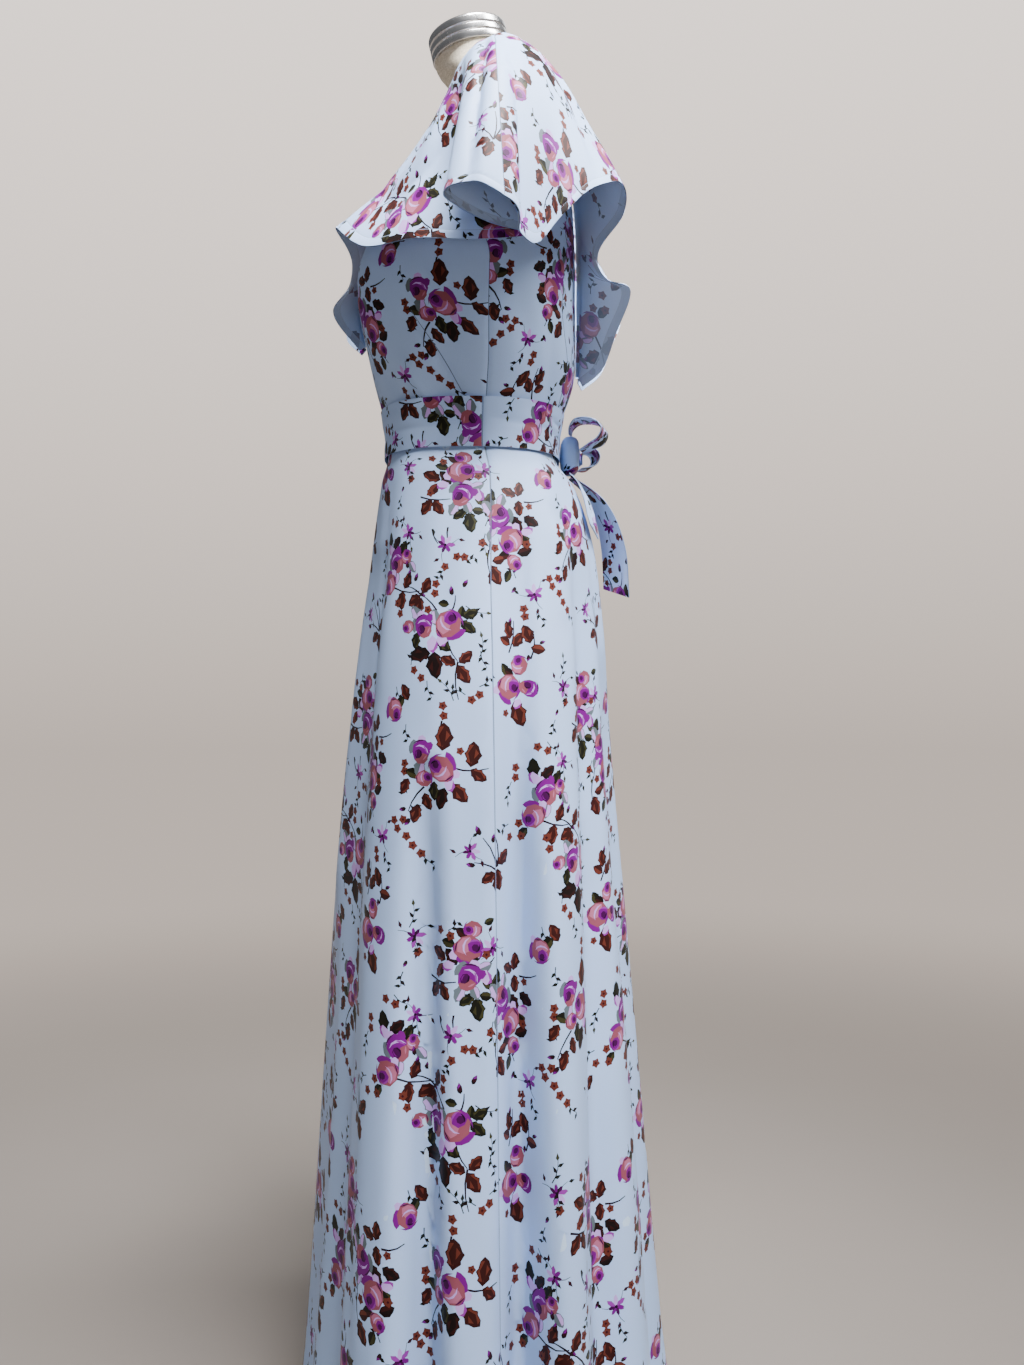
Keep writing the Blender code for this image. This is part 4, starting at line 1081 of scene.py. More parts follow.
def border_points(cloth, across, down):
    """Shares of the points round the pattern's border, in order."""
    middle = np.array([0.5])
    tall = float(cloth.height_at(middle, middle)[0])
    top = max(3, int(cloth.width_at(middle, np.zeros(1))[0] / across))
    low = max(3, int(cloth.width_at(middle, np.ones(1))[0] / across))
    side = max(3, int(tall / down))
    across_top = np.linspace(0.0, 1.0, top + 1)
    downs = np.linspace(0.0, 1.0, side + 1)
    across_low = np.linspace(1.0, 0.0, low + 1)
    s = np.concatenate([across_top[:-1], np.ones(side), across_low[:-1], np.zeros(side)])
    t = np.concatenate([np.zeros(top), downs[:-1], np.ones(low), downs[::-1][:-1]])
    return s, t


def boundary_loop(triangles):
    """The ordered points round a set of triangles."""
    edges = np.concatenate([triangles[:, [0, 1]], triangles[:, [1, 2]], triangles[:, [2, 0]]])
    size = edges.max() + 1
    keys = edges.min(axis=1) * size + edges.max(axis=1)
    _, first, counts = np.unique(keys, return_index=True, return_counts=True)
    after = {int(a): int(b) for a, b in edges[first[counts == 1]]}
    start = next(iter(after))
    loop = [start]
    while after[loop[-1]] != start:
        loop.append(after[loop[-1]])
    return loop


def strip(middle, width):
    """A long thin shape along a line of points on the pattern."""
    way = np.gradient(middle, axis=0)
    way /= np.linalg.norm(way, axis=1)[:, None]
    side = np.stack([-way[:, 1], way[:, 0]], axis=1) * width / 2
    return np.concatenate([middle - side, (middle + side)[::-1]])


def edge_line(cloth, edge, distance, steps=150):
    """Points on the pattern at one distance from one of its edges."""
    along = np.linspace(0.003, 0.997, steps)
    zero = np.zeros_like(along)
    if edge.endswith("row"):
        inward = distance / cloth.height_at(along, zero)
        return cloth.flat(along, inward if edge == "first_row" else 1.0 - inward)
    inward = distance / cloth.width_at(zero, along)
    return cloth.flat(inward if edge == "first_column" else 1.0 - inward, along)


def sewn_lines(cloth):
    """Hem stitching, and painted shade along seam edges and darts, as thin shapes on the pattern."""
    shapes = []
    for edge, kind in cloth.seams:
        if kind == "hem":
            shapes.append(("thread", strip(edge_line(cloth, edge, HEM_STITCH), THREAD_WIDTH)))
        # seam edges get a strip of painted shade in the seam tone
        if kind == "seam":
            shapes.append(("seam", strip(edge_line(cloth, edge, SEAM_LINE), SEAM_LINE_WIDTH)))
    # darts get a wider strip of painted shade in the seam tone
    for dart in cloth.darts:
        share = np.linspace(0.0, 1.0, 40)
        middle = cloth.flat(mix(dart.s_start, dart.s_end, share), mix(dart.t_start, dart.t_end, share))
        shapes.append(("seam", strip(middle, DART_LINE_WIDTH)))
    return shapes


def millimetres(groups):
    """Groups of points of a pattern as one list, in millimetres."""
    return [Vector(place) for place in (np.concatenate(groups) * MILLIMETRES).tolist()]


def in_metres(points):
    return np.array([tuple(point) for point in points]) / MILLIMETRES


def cut_print(cloth, offset, across, down):
    """Cut the flat pattern along the outlines of its print, into coloured triangles."""
    border = cloth.flat(*border_points(cloth, across * 0.7, down * 0.7))
    inner = cloth.flat(*inner_points(cloth, across, down).T)
    scale = PRINT_SCALE * cloth.print_growth
    low = border.min(axis=0) / scale
    high = border.max(axis=0) / scale

    def inside(places):
        s, t = cloth.shares(places * scale)
        width = cloth.width_at(np.clip(s, 0, 1), np.clip(t, 0, 1))
        side = MARK_REACH / np.maximum(width, SHORTEST_SIDE)
        end = MARK_REACH / cloth.length
        return (s > -side) & (s < 1 + side) & (t > -end) & (t < 1 + end)

    shapes = print_shapes(low, high, inside, np.array(offset, dtype=float))
    shapes = [(tone, points * scale) for tone, points in shapes] + sewn_lines(cloth)
    groups = [counter_clockwise(points) for points in [border] + [points for _, points in shapes]]
    groups.append(inner)
    starts = np.cumsum([0] + [len(group) for group in groups])
    faces = [list(range(starts[i], starts[i + 1])) for i in range(len(groups) - 1)]
    found = delaunay_2d_cdt(millimetres(groups), [], faces, 0, 1e-5, True)
    triangles = []
    tones = []
    tone_of = [TONE_NAMES.index(tone) for tone in ["cloth"] + [tone for tone, _ in shapes]]
    for corners, owners in zip(found[2], found[5]):
        if 0 in owners:
            triangles.append(corners)
            tones.append(tone_of[max(owners)])
    triangles = np.array(triangles)
    used, compact = np.unique(triangles, return_inverse=True)
    return Cut(in_metres(found[0])[used], compact.reshape(-1, 3), np.array(tones))


def cut_plain(cloth, outline, across, down):
    """Cut a plain pattern inside an outline; the third result is where its points went."""
    vectors = millimetres([outline, cloth.flat(*inner_points(cloth, across, down).T)])
    order = list(range(len(outline)))
    face = order if turns_left(outline) else order[::-1]
    found = delaunay_2d_cdt(vectors, [], [face], 0, 1e-6, True)
    triangles = np.array([corners for corners, owners in zip(found[2], found[5]) if 0 in owners])
    place_of = np.zeros(len(outline), dtype=int)
    for index, sources in enumerate(found[3]):
        for source in sources:
            if source < len(outline):
                place_of[source] = index
    return in_metres(found[0]), triangles, place_of


def linear(colour):
    value = np.array(colour) / 255.0
    return np.where(value <= 0.04045, value / 12.92, ((value + 0.055) / 1.055) ** 2.4)


PALETTE = np.array([linear(TONES[name]) for name in TONE_NAMES])
WRONG = linear(TONES["wrong"])
WRONG_PRINT = 0.68
TURNED_PRINT = 0.3
TURNED_PLAIN = 0.48
PLAIN_STRETCH = 1.6
# Boxes of the bake square: nearly all of it and a corner, or its two halves
MOST_BOX = ((0.01, 0.01), (0.99, 0.92))
CORNER_BOX = ((0.01, 0.935), (0.07, 0.99))
LOW_BOX = ((0.01, 0.01), (0.99, 0.485))
HIGH_BOX = ((0.01, 0.515), (0.99, 0.99))


def facing(points, triangles, normals):
    """The triangles, turned so that they face along the normals."""
    corners = points[triangles]
    faces = np.cross(corners[:, 1] - corners[:, 0], corners[:, 2] - corners[:, 0])
    return triangles[:, ::-1] if (faces * normals[triangles[:, 0]]).sum() < 0.0 else triangles


def write_mesh(name, points, triangles, normals, colours, places, finish):
    """A mesh object with its own normals, corner colours and flat-pattern places."""
    mesh = bpy.data.meshes.new(name)
    mesh.vertices.add(len(points))
    mesh.vertices.foreach_set("co", points.ravel())
    mesh.loops.add(triangles.size)
    mesh.loops.foreach_set("vertex_index", triangles.ravel())
    mesh.polygons.add(len(triangles))
    mesh.polygons.foreach_set("loop_start", np.arange(0, triangles.size, 3))
    mesh.update(calc_edges=True)
    colour = mesh.color_attributes.new("print", "FLOAT_COLOR", "CORNER")
    corner_colours = np.ones((len(triangles), 3, 4))
    corner_colours[:, :, :3] = colours[:, None, :]
    colour.data.foreach_set("color", corner_colours.ravel())
    layer = mesh.uv_layers.new(name="OFBake")
    layer.uv.foreach_set("vector", places.reshape(-1))
    mesh.shade_smooth()
    own_normals = mesh.attributes.new("custom_normal", "FLOAT_VECTOR", "POINT")
    own_normals.data.foreach_set("vector", normals.ravel())
    mesh.materials.append(finish)
    return new_item(name, mesh)


def fitted(flat, low, high):
    """Places on the bake square, from the flat pattern into the box between low and high."""
    corner = flat.min(axis=0)
    size = flat.max(axis=0) - corner
    return low + (flat - corner) / size * (np.array(high) - low)


def wrong_side(cloth, cut, triangles, loop, across, down, wrong):
    """The wrong side's pattern, triangles, border and colours, and both sides' boxes."""
    if wrong == "plain":
        flat, plain_triangles, border = cut_plain(cloth, cut.flat[loop], across, down * PLAIN_STRETCH)
        colours = np.tile(WRONG, (len(plain_triangles), 1))
        return flat, plain_triangles, border, colours, (MOST_BOX, CORNER_BOX)
    through = 1.0 if wrong == "doubled" else WRONG_PRINT
    colours = PALETTE[cut.tones] * through * WRONG / PALETTE[0] + WRONG * (1.0 - through)
    middle_s, middle_t = cloth.shares(cut.flat[triangles].mean(axis=1))
    for edge, kind in cloth.seams:
        if kind == "hem":
            turned = cloth.edge_distances(middle_s, middle_t)[edge] < HEM_STITCH
            colours[turned] = colours[turned] * TURNED_PRINT + WRONG * TURNED_PLAIN
    return cut.flat, triangles, loop, colours, (LOW_BOX, HIGH_BOX)


def make_cloth(name, cloth, offset, across, down, proud=0.0, wrong="printed", held="hung"):
    """A printed cloth piece: its right side, its wrong side and the rim between them.

    The right side stands proud of the cloth's surface, and the wrong side a wall below it. The
    wrong side is plain, or shows the print through, or is printed as well where cloth is doubled.
    """
    cut = cut_print(cloth, offset, across, down)
    outer, normals = cloth.lifted(cut.flat, proud)
    triangles = facing(outer, cut.triangles, normals)
    loop = np.array(boundary_loop(triangles))
    back_flat, back_triangles, back_loop, back_colours, boxes = wrong_side(
        cloth, cut, triangles, loop, across, down, wrong)
    places = fitted(cut.flat, *boxes[0])
    back_places = fitted(back_flat, *boxes[1])
    back, back_normals = cloth.lifted(back_flat, proud - WALL)
    back_triangles = facing(back, back_triangles, -back_normals)
    shift = len(outer)
    a, b = loop, np.roll(loop, -1)
    c, d = back_loop + shift, np.roll(back_loop, -1) + shift
    rim = np.concatenate([np.stack([b, a, c], axis=1), np.stack([b, c, d], axis=1)])
    rim_places = places[np.concatenate([np.stack([b, a, a], axis=1), np.stack([b, a, b], axis=1)])]
    all_places = np.concatenate([places[triangles], back_places[back_triangles], rim_places])
    rim_colours = np.tile(PALETTE[0], (len(rim), 1))
    all_colours = np.concatenate([PALETTE[cut.tones], back_colours, rim_colours])
    all_triangles = np.concatenate([triangles, back_triangles + shift, rim])
    sound = (all_triangles != np.roll(all_triangles, 1, axis=1)).all(axis=1)
    item = write_mesh(f"{name}_cloth", np.concatenate([outer, back]), all_triangles[sound],
                      np.concatenate([normals, -back_normals]), all_colours[sound],
                      all_places[sound], crepe_material(name))
    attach(item, "root")
    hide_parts(name)
    if held:
        size = np.ptp(cut.flat, axis=0)
        edges = cut.flat[cut.triangles]
        area = 0.5 * np.abs(np.cross(edges[:, 1] - edges[:, 0], edges[:, 2] - edges[:, 0])).sum()
        area = float(min(area, size[0] * size[1]))


# Materials
def new_material(name):
    made = bpy.data.materials.new(name)
    made.use_nodes = True
    return made, made.node_tree, made.node_tree.nodes["Principled BSDF"]


def wire(tree, made, inputs):
    """Set a node's inputs, each to a value or to another node's output."""
    for key, value in inputs.items():
        if isinstance(value, bpy.types.NodeSocket):
            tree.links.new(value, made.inputs[key])
        else:
            made.inputs[key].default_value = value


def node(tree, kind, output, inputs, **settings):
    """Add a node with its settings and inputs, and return one of its outputs."""
    made = tree.nodes.new(f"ShaderNode{kind}")
    for key, value in settings.items():
        setattr(made, key, value)
    wire(tree, made, inputs)
    return made.outputs[output]


def ranged(tree, value, low, high, start=0.0, end=1.0, **settings):
    """A value brought from between start and end to between low and high."""
    inputs = {"Value": value, "From Min": start, "From Max": end, "To Min": low, "To Max": high}
    return node(tree, "MapRange", "Result", inputs, **settings)


def ramped(tree, share, low, high, start=0.0):
    """A colour between two tones."""
    made = tree.nodes.new("ShaderNodeValToRGB")
    made.color_ramp.elements[0].position = start
    made.color_ramp.elements[0].color = low
    made.color_ramp.elements[1].color = high
    wire(tree, made, {"Fac": share})
    return made.outputs["Color"]


def bumped(tree, height, strength, distance):
    return node(tree, "Bump", "Normal", {"Height": height, "Strength": strength, "Distance": distance})


def solid(colour):
    return (*linear(colour), 1.0)


def noise(tree, scale, detail, stretch=(1.0, 1.0, 1.0)):
    """Noise on the object's own coordinates, in metres."""
    place = node(tree, "TexCoord", "Object", {})
    place = node(tree, "Mapping", "Vector", {"Vector": place, "Scale": stretch})
    return node(tree, "TexNoise", "Fac", {"Vector": place, "Scale": scale, "Detail": detail})


def crepe_material(name):
    """Printed crepe: its print, a slight cloudiness, a fine uneven weave and a soft sheen."""
    made, tree, shader = new_material(f"{name}_crepe")
    colour = node(tree, "Attribute", "Color", {}, attribute_name="print")
    cloud = ranged(tree, noise(tree, 14.0, 3.0), 0.955, 1.03)
    yarn = noise(tree, 900.0, 2.0)
    weave = ranged(tree, yarn, 0.95, 1.045)
    shade = node(tree, "Math", "Value", {0: cloud, 1: weave}, operation="MULTIPLY")
    colour = node(tree, "VectorMath", "Vector", {"Vector": colour, "Scale": shade}, operation="SCALE")
    wire(tree, shader, {"Base Color": colour, "Normal": bumped(tree, yarn, 0.12, 0.0004),
                        "Roughness": 0.46, "Specular IOR Level": 0.14, "Sheen Weight": 0.02,
                        "Sheen Roughness": 0.4})
    return made


def linen_material(name):
    """Unbleached linen: crossing slubby yarns of uneven tone, with a painted highlight on their crowns
    and painted shade between them.
    """
    made, tree, shader = new_material(name)
    across = noise(tree, 900.0, 2.0, (0.25, 0.25, 1.4))
    down = noise(tree, 900.0, 2.0, (1.4, 1.4, 0.22))
    weave = node(tree, "Math", "Value", {0: across, 1: down}, operation="ADD")
    share = ranged(tree, weave, 0.0, 1.7, 0.0, 2.0)
    # the colour follows the bump's height: painted shade low between the yarns, painted highlight on
    # their crowns
    colour = ramped(tree, share, solid(LINEN_SHADE), solid(LINEN), 0.72)
    wire(tree, shader, {"Base Color": colour, "Normal": bumped(tree, weave, 0.3, 0.0006),
                        "Roughness": 0.88})
    return made


def chrome_material(name):
    """Polished chrome with faint handling marks in its gloss."""
    made, tree, shader = new_material(name)
    wire(tree, shader, {"Roughness": ranged(tree, noise(tree, 60.0, 4.0), 0.20, 0.34),
                        "Base Color": CHROME, "Metallic": 1.0})
    return made


LINEN = (218, 209, 192)
LINEN_SHADE = (190, 180, 160)
CHROME = (0.62, 0.62, 0.63, 1.0)
PAINT = (206, 204, 199)
WORN_PAINT = tuple(part * 0.95 for part in PAINT)


def steel_material(name):
    """Powder-coated steel: a fine orange peel and slightly uneven paint."""
    made, tree, shader = new_material(name)
    colour = ramped(tree, noise(tree, 9.0, 3.0), solid(WORN_PAINT), solid(PAINT))
    wire(tree, shader, {"Base Color": colour, "Roughness": 0.42,
                        "Normal": bumped(tree, noise(tree, 700.0, 2.0), 0.15, 0.0003)})
    return made


# How each fold of the skirt leans (above zero it is steep on its side of higher angle), and how much
# deeper it is below the hips than the solid's
FOLD_LEANS = (0.2, 0.45, 0.2, 0.3, -0.35, 0.3, -0.45, 0.5, -0.4, 0.5, -0.5, 0.4)
FOLD_GAINS = (1.1, 1.2, 1.6, 1.9, 1.35, 1.15, 1.15, 1.3, 1.2, 1.3, 1.15, 1.2)
# How the folds grow downwards, and how far leaning shifts, steepens and slackens them
FOLD_RISE = 0.58
LEAN_SHIFT = 0.35
STEEP_SIDE = 0.55
SLACK_SIDE = 0.4
HIP_HEIGHT = 0.88
HIP_EASE = 0.3
HOLLOW_EASE = 0.5
# The wide hollow at the wearer's left that holds two of the folds
HOLLOW = Trough(90.0, 90.0, 13.0, 0.022, 0.95)


def turn_between(start, end):
    """The shorter turn from one angle to another, in degrees."""
    return (end - start + 180.0) % 360.0 - 180.0


def trough_depth(angle, height):
    """How far the skirt's surface lies inside its flutes' crests, with one steep side each."""
    depth = 0.0
    for trough, lean, gain in zip(TROUGHS, FOLD_LEANS, FOLD_GAINS):
        if height >= trough.top_height:
            continue
        share = (trough.top_height - height) / (trough.top_height - HEM_HEIGHT)
        centre = mix(trough.top_angle, trough.hem_angle, share) + LEAN_SHIFT * lean * trough.half_angle
        off = turn_between(centre, angle)
        side = -STEEP_SIDE if off * lean > 0.0 else SLACK_SIDE
        half = trough.half_angle * (1.0 + side * abs(lean))
        grown = mix(1.0, gain, ease((HIP_HEIGHT - height) / HIP_EASE))
        depth += trough.depth * grown * share ** FOLD_RISE * math.exp(-(off / half) ** 2)
    off = turn_between(HOLLOW.hem_angle, angle)
    share = ease((HOLLOW.top_height - height) / HOLLOW_EASE)
    return depth + HOLLOW.depth * share * math.exp(-(off / HOLLOW.half_angle) ** 2)


# The garment's pieces: how finely each surface is laid out, and its shape
SKIRT_ROWS = 64
ROW_CROWDING = 1.25
BODICE_COLUMNS = 28
BODICE_ROWS = 26
SHOULDER_ROWS = 20
FLOUNCE_ROWS = 26
TURN_SPLITS = 5
BELT_ROWS = 8
KNOT_COLUMNS = 48
KNOT_ROWS = 24
KNOT_POWER = 0.7
LOOP_ROWS = 48
END_ROWS = 24
END_SLANT = 0.006
RIBBON_COLUMNS = 10


def draw_in(line):
    """Draw both ends of a row in by half the gap of a seam."""
    for end, beside in ((0, 1), (-1, -2)):
        line[end] += (line[beside] - line[end]).normalized() * HALF_GAP


def skirt_cloth(start, end, steps, pivot, creases=()):
    top = WAIST_HEIGHT - HALF_GAP
    heights = [mix(top, HEM_HEIGHT, share ** ROW_CROWDING) for share in spread(0.0, 1.0, SKIRT_ROWS)]
    grid = [[skirt_point(angle, height) for angle in spread(start, end, steps)] for height in heights]
    for line in grid:
        draw_in(line)
    seams = (("first_column", "seam"), ("last_column", "seam"), ("last_row", "hem"))
    return Cloth(as_array(grid), -1.0, seams, creases, pivot)


def bodice_cloth(front, side, creases=(), darts=()):
    """The left or right panel, shoulder to waist, centre to side."""
    middle = 0.0 if front else 180.0
    grid = []
    for height in spread(WAIST_HEIGHT + HALF_GAP, UNDERARM_HEIGHT, BODICE_ROWS):
        section = at(BODICE, height)
        edge = neck_edge_x(height, front) / section.half_width
        start = math.degrees(math.asin(edge ** (FULLNESS / 2.0)))
        start = middle + start if front else middle - start
        line = [section_point(section, angle)
                for angle in spread(start, side_seam_angle(height), BODICE_COLUMNS)]
        line[0].x = max(line[0].x, HALF_GAP)
        line[-1].y += -HALF_GAP if front else HALF_GAP
        grid.append(line)
    below = grid[-1]
    shares = [(point.x - below[0].x) / (below[-1].x - below[0].x) for point in below]
    tops = [ridge_height(BODICE, mix(NECK_WIDTH, STRAP_WIDTH, share)) for share in shares]
    for rise in spread(0.0, 1.0, SHOULDER_ROWS)[1:]:
        climb = math.sin(rise * math.pi / 2.0)
        outside_x = mix(below[-1].x, STRAP_WIDTH, rise) - ARMHOLE_SCOOP * math.sin(math.pi * rise)
        inside_x = neck_edge_x(mix(UNDERARM_HEIGHT, tops[0], climb), front)
        line = []
        for share, top in zip(shares, tops):
            height = mix(UNDERARM_HEIGHT, top, climb)
            line.append(branch_point(BODICE, mix(inside_x, outside_x, share), height, front))
        grid.append(line)
    for point in grid[-1]:
        point.y += -HALF_GAP if front else HALF_GAP
    grid.reverse()
    points = as_array(grid)
    starts = points[:, 0, 0].copy()
    outward = -1.0 if front else 1.0
    if side == "right":
        points[:, :, 0] *= -1.0
        outward = -outward
    seams = (("last_column", "seam"), ("first_row", "seam"))
    return Cloth(points, outward, seams, creases, starts=starts, darts=darts)


def flounce_grid(frames, front, flutes):
    turns = [turn.along for turn in HEM_TURNS]
    shares = [turns[0]]
    for before, after in zip(turns, turns[1:]):
        shares += spread(before, after, TURN_SPLITS)[1:]
    seam = min(shares, key=lambda share: abs(share - 0.5))
    columns = [share for share in shares if (share <= seam if front else share >= seam)]
    grid = [[flounce_point(frames, share, depth, flutes) for share in columns]
            for depth in spread(0.0, 1.0, FLOUNCE_ROWS)]
    for line in grid:
        line[-1 if front else 0].y += -HALF_GAP if front else HALF_GAP
    return as_array(grid)


def belt_cloth(start, end, steps, creases=()):
    grid = []
    for rise in spread(1.0, -1.0, BELT_ROWS):
        line = [belt_point(angle, rise) for angle in spread(start, end, steps)]
        draw_in(line)
        grid.append(line)
    seams = (("first_column", "seam"), ("last_column", "seam"))
    return Cloth(as_array(grid), -1.0, seams, creases, 0.5)


def knot_cloth():
    """The knot: a soft block wrapped by the belt, gathered into folds."""
    centre = knot_centre()
    grid = []
    for tall in spread(0.003, 0.997, KNOT_ROWS):
        line = []
        for turn in spread(-90.0, 270.0, KNOT_COLUMNS):
            angle = math.radians(turn)
            x = signed_power(math.cos(angle) * math.sin(math.pi * tall), KNOT_POWER)
            y = signed_power(math.sin(angle) * math.sin(math.pi * tall), KNOT_POWER)
            z = signed_power(math.cos(math.pi * tall), KNOT_POWER)
            line.append(centre + Vector((x * KNOT_HALF.x, y * KNOT_HALF.y, z * KNOT_HALF.z)))
        grid.append(line)
    return Cloth(as_array(grid), -1.0, (), KNOT_CREASES, 0.5)


def loop_cloth(loop, creases=()):
    turn = math.radians(loop.turn)
    width = Vector((math.cos(turn), -math.sin(turn), 0.0))
    grid = []
    for share in spread(0.0, 1.0, LOOP_ROWS):
        way = at(LOOP_WAY, share * LOOP_WAY[-1].along)
        out = way.out * loop.reach + mix(loop.start_shift, loop.end_shift, share)
        up = way.up - mix(loop.start_lower, loop.end_lower, share)
        middle = knot_centre() + Vector((way.across, out - KNOT_HALF.y / 2, up))
        line = [middle + width * (way.width * part / 2) for part in spread(-1.0, 1.0, RIBBON_COLUMNS)]
        grid.append([Vector((point.x * loop.side, point.y, point.z)) for point in line])
    return Cloth(as_array(grid), loop.side, (), creases, 0.5)


def end_cloth(falls, side, creases=()):
    grid = []
    for height in spread(falls[-1].height, falls[0].height, END_ROWS):
        fall = at(falls, height)
        turn = math.radians(fall.turn)
        width = Vector((math.cos(turn), math.sin(turn), 0.0))
        middle = Vector((fall.across, skirt_y(fall.across, height) + fall.off, height))
        share_down = (falls[-1].height - height) / (falls[-1].height - falls[0].height)
        slant = END_SLANT * ease((share_down - 0.75) / 0.25)
        line = []
        for share in spread(-1.0, 1.0, RIBBON_COLUMNS):
            point = middle + width * (share * fall.width / 2)
            point.z += slant * share * side
            line.append(point)
        grid.append(line)
    return Cloth(as_array(grid), 1.0, (), creases, 0.5)


# Creases and darts of each piece, over the shares of its pattern
KNOT_CREASES = table(Crease,
    (0.3, 0.3, 0.7, 0.62, 0.003, -0.0016), (0.34, 0.62, 0.72, 0.4, 0.0028, -0.0013),
    (0.42, 0.15, 0.6, 0.86, 0.003, -0.0012),
)
FRONT_DART = (Crease(0.66, 0.7, 0.92, 0.955, 0.003, 0.0011),)
BACK_DART = (Crease(0.45, 0.66, 0.3, 0.985, 0.0028, 0.0009),)
BODICE_CREASES = {
    ("front", "left"): table(Crease,
        (0.4, 0.8, 0.62, 0.99, 0.01, -0.0026), (0.52, 0.78, 0.74, 0.97, 0.008, 0.0016),
        (0.96, 0.5, 0.72, 0.6, 0.012, -0.0018), (0.2, 0.86, 0.34, 1.0, 0.008, -0.0018),
    ),
    ("front", "right"): table(Crease,
        (0.44, 0.82, 0.58, 0.99, 0.009, -0.0022), (0.3, 0.8, 0.4, 0.98, 0.008, 0.0014),
        (0.94, 0.54, 0.7, 0.62, 0.011, -0.0016),
    ),
    ("back", "left"): table(Crease,
        (0.62, 0.72, 0.5, 0.97, 0.01, -0.0022), (0.86, 0.62, 0.7, 0.9, 0.012, -0.0016),
        (0.12, 0.78, 0.16, 1.0, 0.008, -0.0014),
    ),
    ("back", "right"): table(Crease,
        (0.58, 0.76, 0.52, 0.98, 0.009, -0.002), (0.8, 0.66, 0.74, 0.94, 0.011, -0.0016),
    ),
}
FLOUNCE_CREASES = {
    ("front", "left"): table(Crease,
        (0.978, 0.09, 0.938, 1.05, 0.0085, -0.008), (0.89, 0.11, 0.547, 1.0, 0.015, 0.0034),
        (0.843, 0.14, 0.435, 1.0, 0.013, -0.003), (0.66, 0.18, 0.288, 1.0, 0.01, 0.0022),
        (0.328, 0.23, 0.175, 1.0, 0.008, -0.002),
    ),
    ("front", "right"): table(Crease,
        (0.975, 0.11, 0.948, 1.05, 0.009, -0.0065), (0.873, 0.14, 0.588, 1.0, 0.014, 0.0028),
        (0.805, 0.14, 0.395, 1.0, 0.014, -0.003), (0.458, 0.23, 0.24, 1.0, 0.009, -0.002),
    ),
    ("back", "left"): table(Crease,
        (0.018, 0.2, 0.085, 1.05, 0.0085, -0.005), (0.095, 0.22, 0.188, 0.98, 0.014, 0.003),
        (0.152, 0.24, 0.323, 1.02, 0.012, -0.004), (0.338, 0.15, 0.482, 1.0, 0.012, -0.0026),
        (0.598, 0.2, 0.685, 0.99, 0.009, -0.0022),
    ),
    ("back", "right"): table(Crease,
        (0.022, 0.2, 0.072, 1.05, 0.009, -0.0046), (0.173, 0.22, 0.352, 1.02, 0.013, -0.0034),
        (0.42, 0.18, 0.517, 1.0, 0.011, -0.0026), (0.662, 0.2, 0.723, 1.0, 0.009, -0.002),
    ),
}
SKIRT_CREASES = {
    "skirt_front": table(Crease,
        (0.93, 0.03, 0.9, 0.3, 0.012, -0.0022), (0.8, 0.02, 0.76, 0.34, 0.016, 0.0026),
        (0.7, 0.05, 0.69, 0.42, 0.012, -0.0028), (0.88, 0.34, 0.9, 0.8, 0.014, -0.003),
        (0.58, 0.1, 0.6, 0.6, 0.016, 0.003), (0.4, 0.04, 0.38, 0.5, 0.014, -0.0028),
        (0.22, 0.06, 0.2, 0.44, 0.014, -0.0026), (0.1, 0.03, 0.12, 0.3, 0.012, 0.0024),
        (0.3, 0.45, 0.27, 0.96, 0.016, -0.0034), (0.76, 0.55, 0.79, 0.98, 0.014, -0.003),
        (0.62, 0.6, 0.61, 1.0, 0.012, -0.003), (0.16, 0.55, 0.14, 1.0, 0.014, 0.003),
    ),
    "skirt_back_left": table(Crease,
        (0.14, 0.05, 0.16, 0.36, 0.012, -0.0024), (0.34, 0.04, 0.36, 0.26, 0.013, 0.0026),
        (0.3, 0.13, 0.46, 0.17, 0.01, -0.0018), (0.56, 0.05, 0.52, 0.45, 0.013, -0.0026),
        (0.8, 0.06, 0.78, 0.5, 0.014, -0.0028), (0.34, 0.5, 0.33, 0.98, 0.014, -0.003),
        (0.7, 0.55, 0.68, 1.0, 0.014, 0.0032),
    ),
    "skirt_back_right": table(Crease,
        (0.2, 0.05, 0.22, 0.44, 0.013, -0.0026), (0.46, 0.04, 0.48, 0.34, 0.013, 0.0026),
        (0.7, 0.05, 0.66, 0.48, 0.014, -0.0028), (0.88, 0.04, 0.86, 0.3, 0.012, -0.0022),
        (0.3, 0.52, 0.32, 1.0, 0.015, -0.0032), (0.74, 0.56, 0.72, 0.98, 0.014, 0.003),
    ),
}
BELT_CREASES = table(Crease,
    (0.04, 0.34, 0.62, 0.52, 0.0035, -0.0011), (0.4, 0.66, 0.97, 0.56, 0.0035, -0.001),
    (0.5, 0.28, 0.9, 0.2, 0.0028, 0.0007), (0.08, 0.78, 0.4, 0.84, 0.0028, 0.0007),
)
BELT_BACK_CREASES = table(Crease,
    (0.05, 0.44, 0.98, 0.62, 0.0034, -0.0012), (0.3, 0.2, 1.05, 0.46, 0.003, -0.0012),
    (0.45, 0.86, 1.05, 0.72, 0.003, -0.0011),
)
BELT_FAR_CREASES = tuple(crease._replace(s_start=1.0 - crease.s_start, s_end=1.0 - crease.s_end)
                         for crease in BELT_BACK_CREASES)
RIBBON_CREASES = table(Crease,
    (0.42, 0.02, 0.3, 0.98, 0.0034, -0.0016), (0.7, 0.0, 0.66, 0.7, 0.003, 0.0012),
    (0.8, 0.3, 0.86, 1.0, 0.0026, -0.0009),
)


# How far apart the points of each pattern lie, across and down
SKIRT_SPACING = (0.008, 0.02)
BODICE_SPACING = (0.007, 0.01)
FLOUNCE_SPACING = (0.0055, 0.0065)
BELT_SPACING = (0.005, 0.004)
KNOT_SPACING = (0.003, 0.003)
LOOP_SPACING = (0.0035, 0.0035)
END_SPACING = (0.004, 0.004)


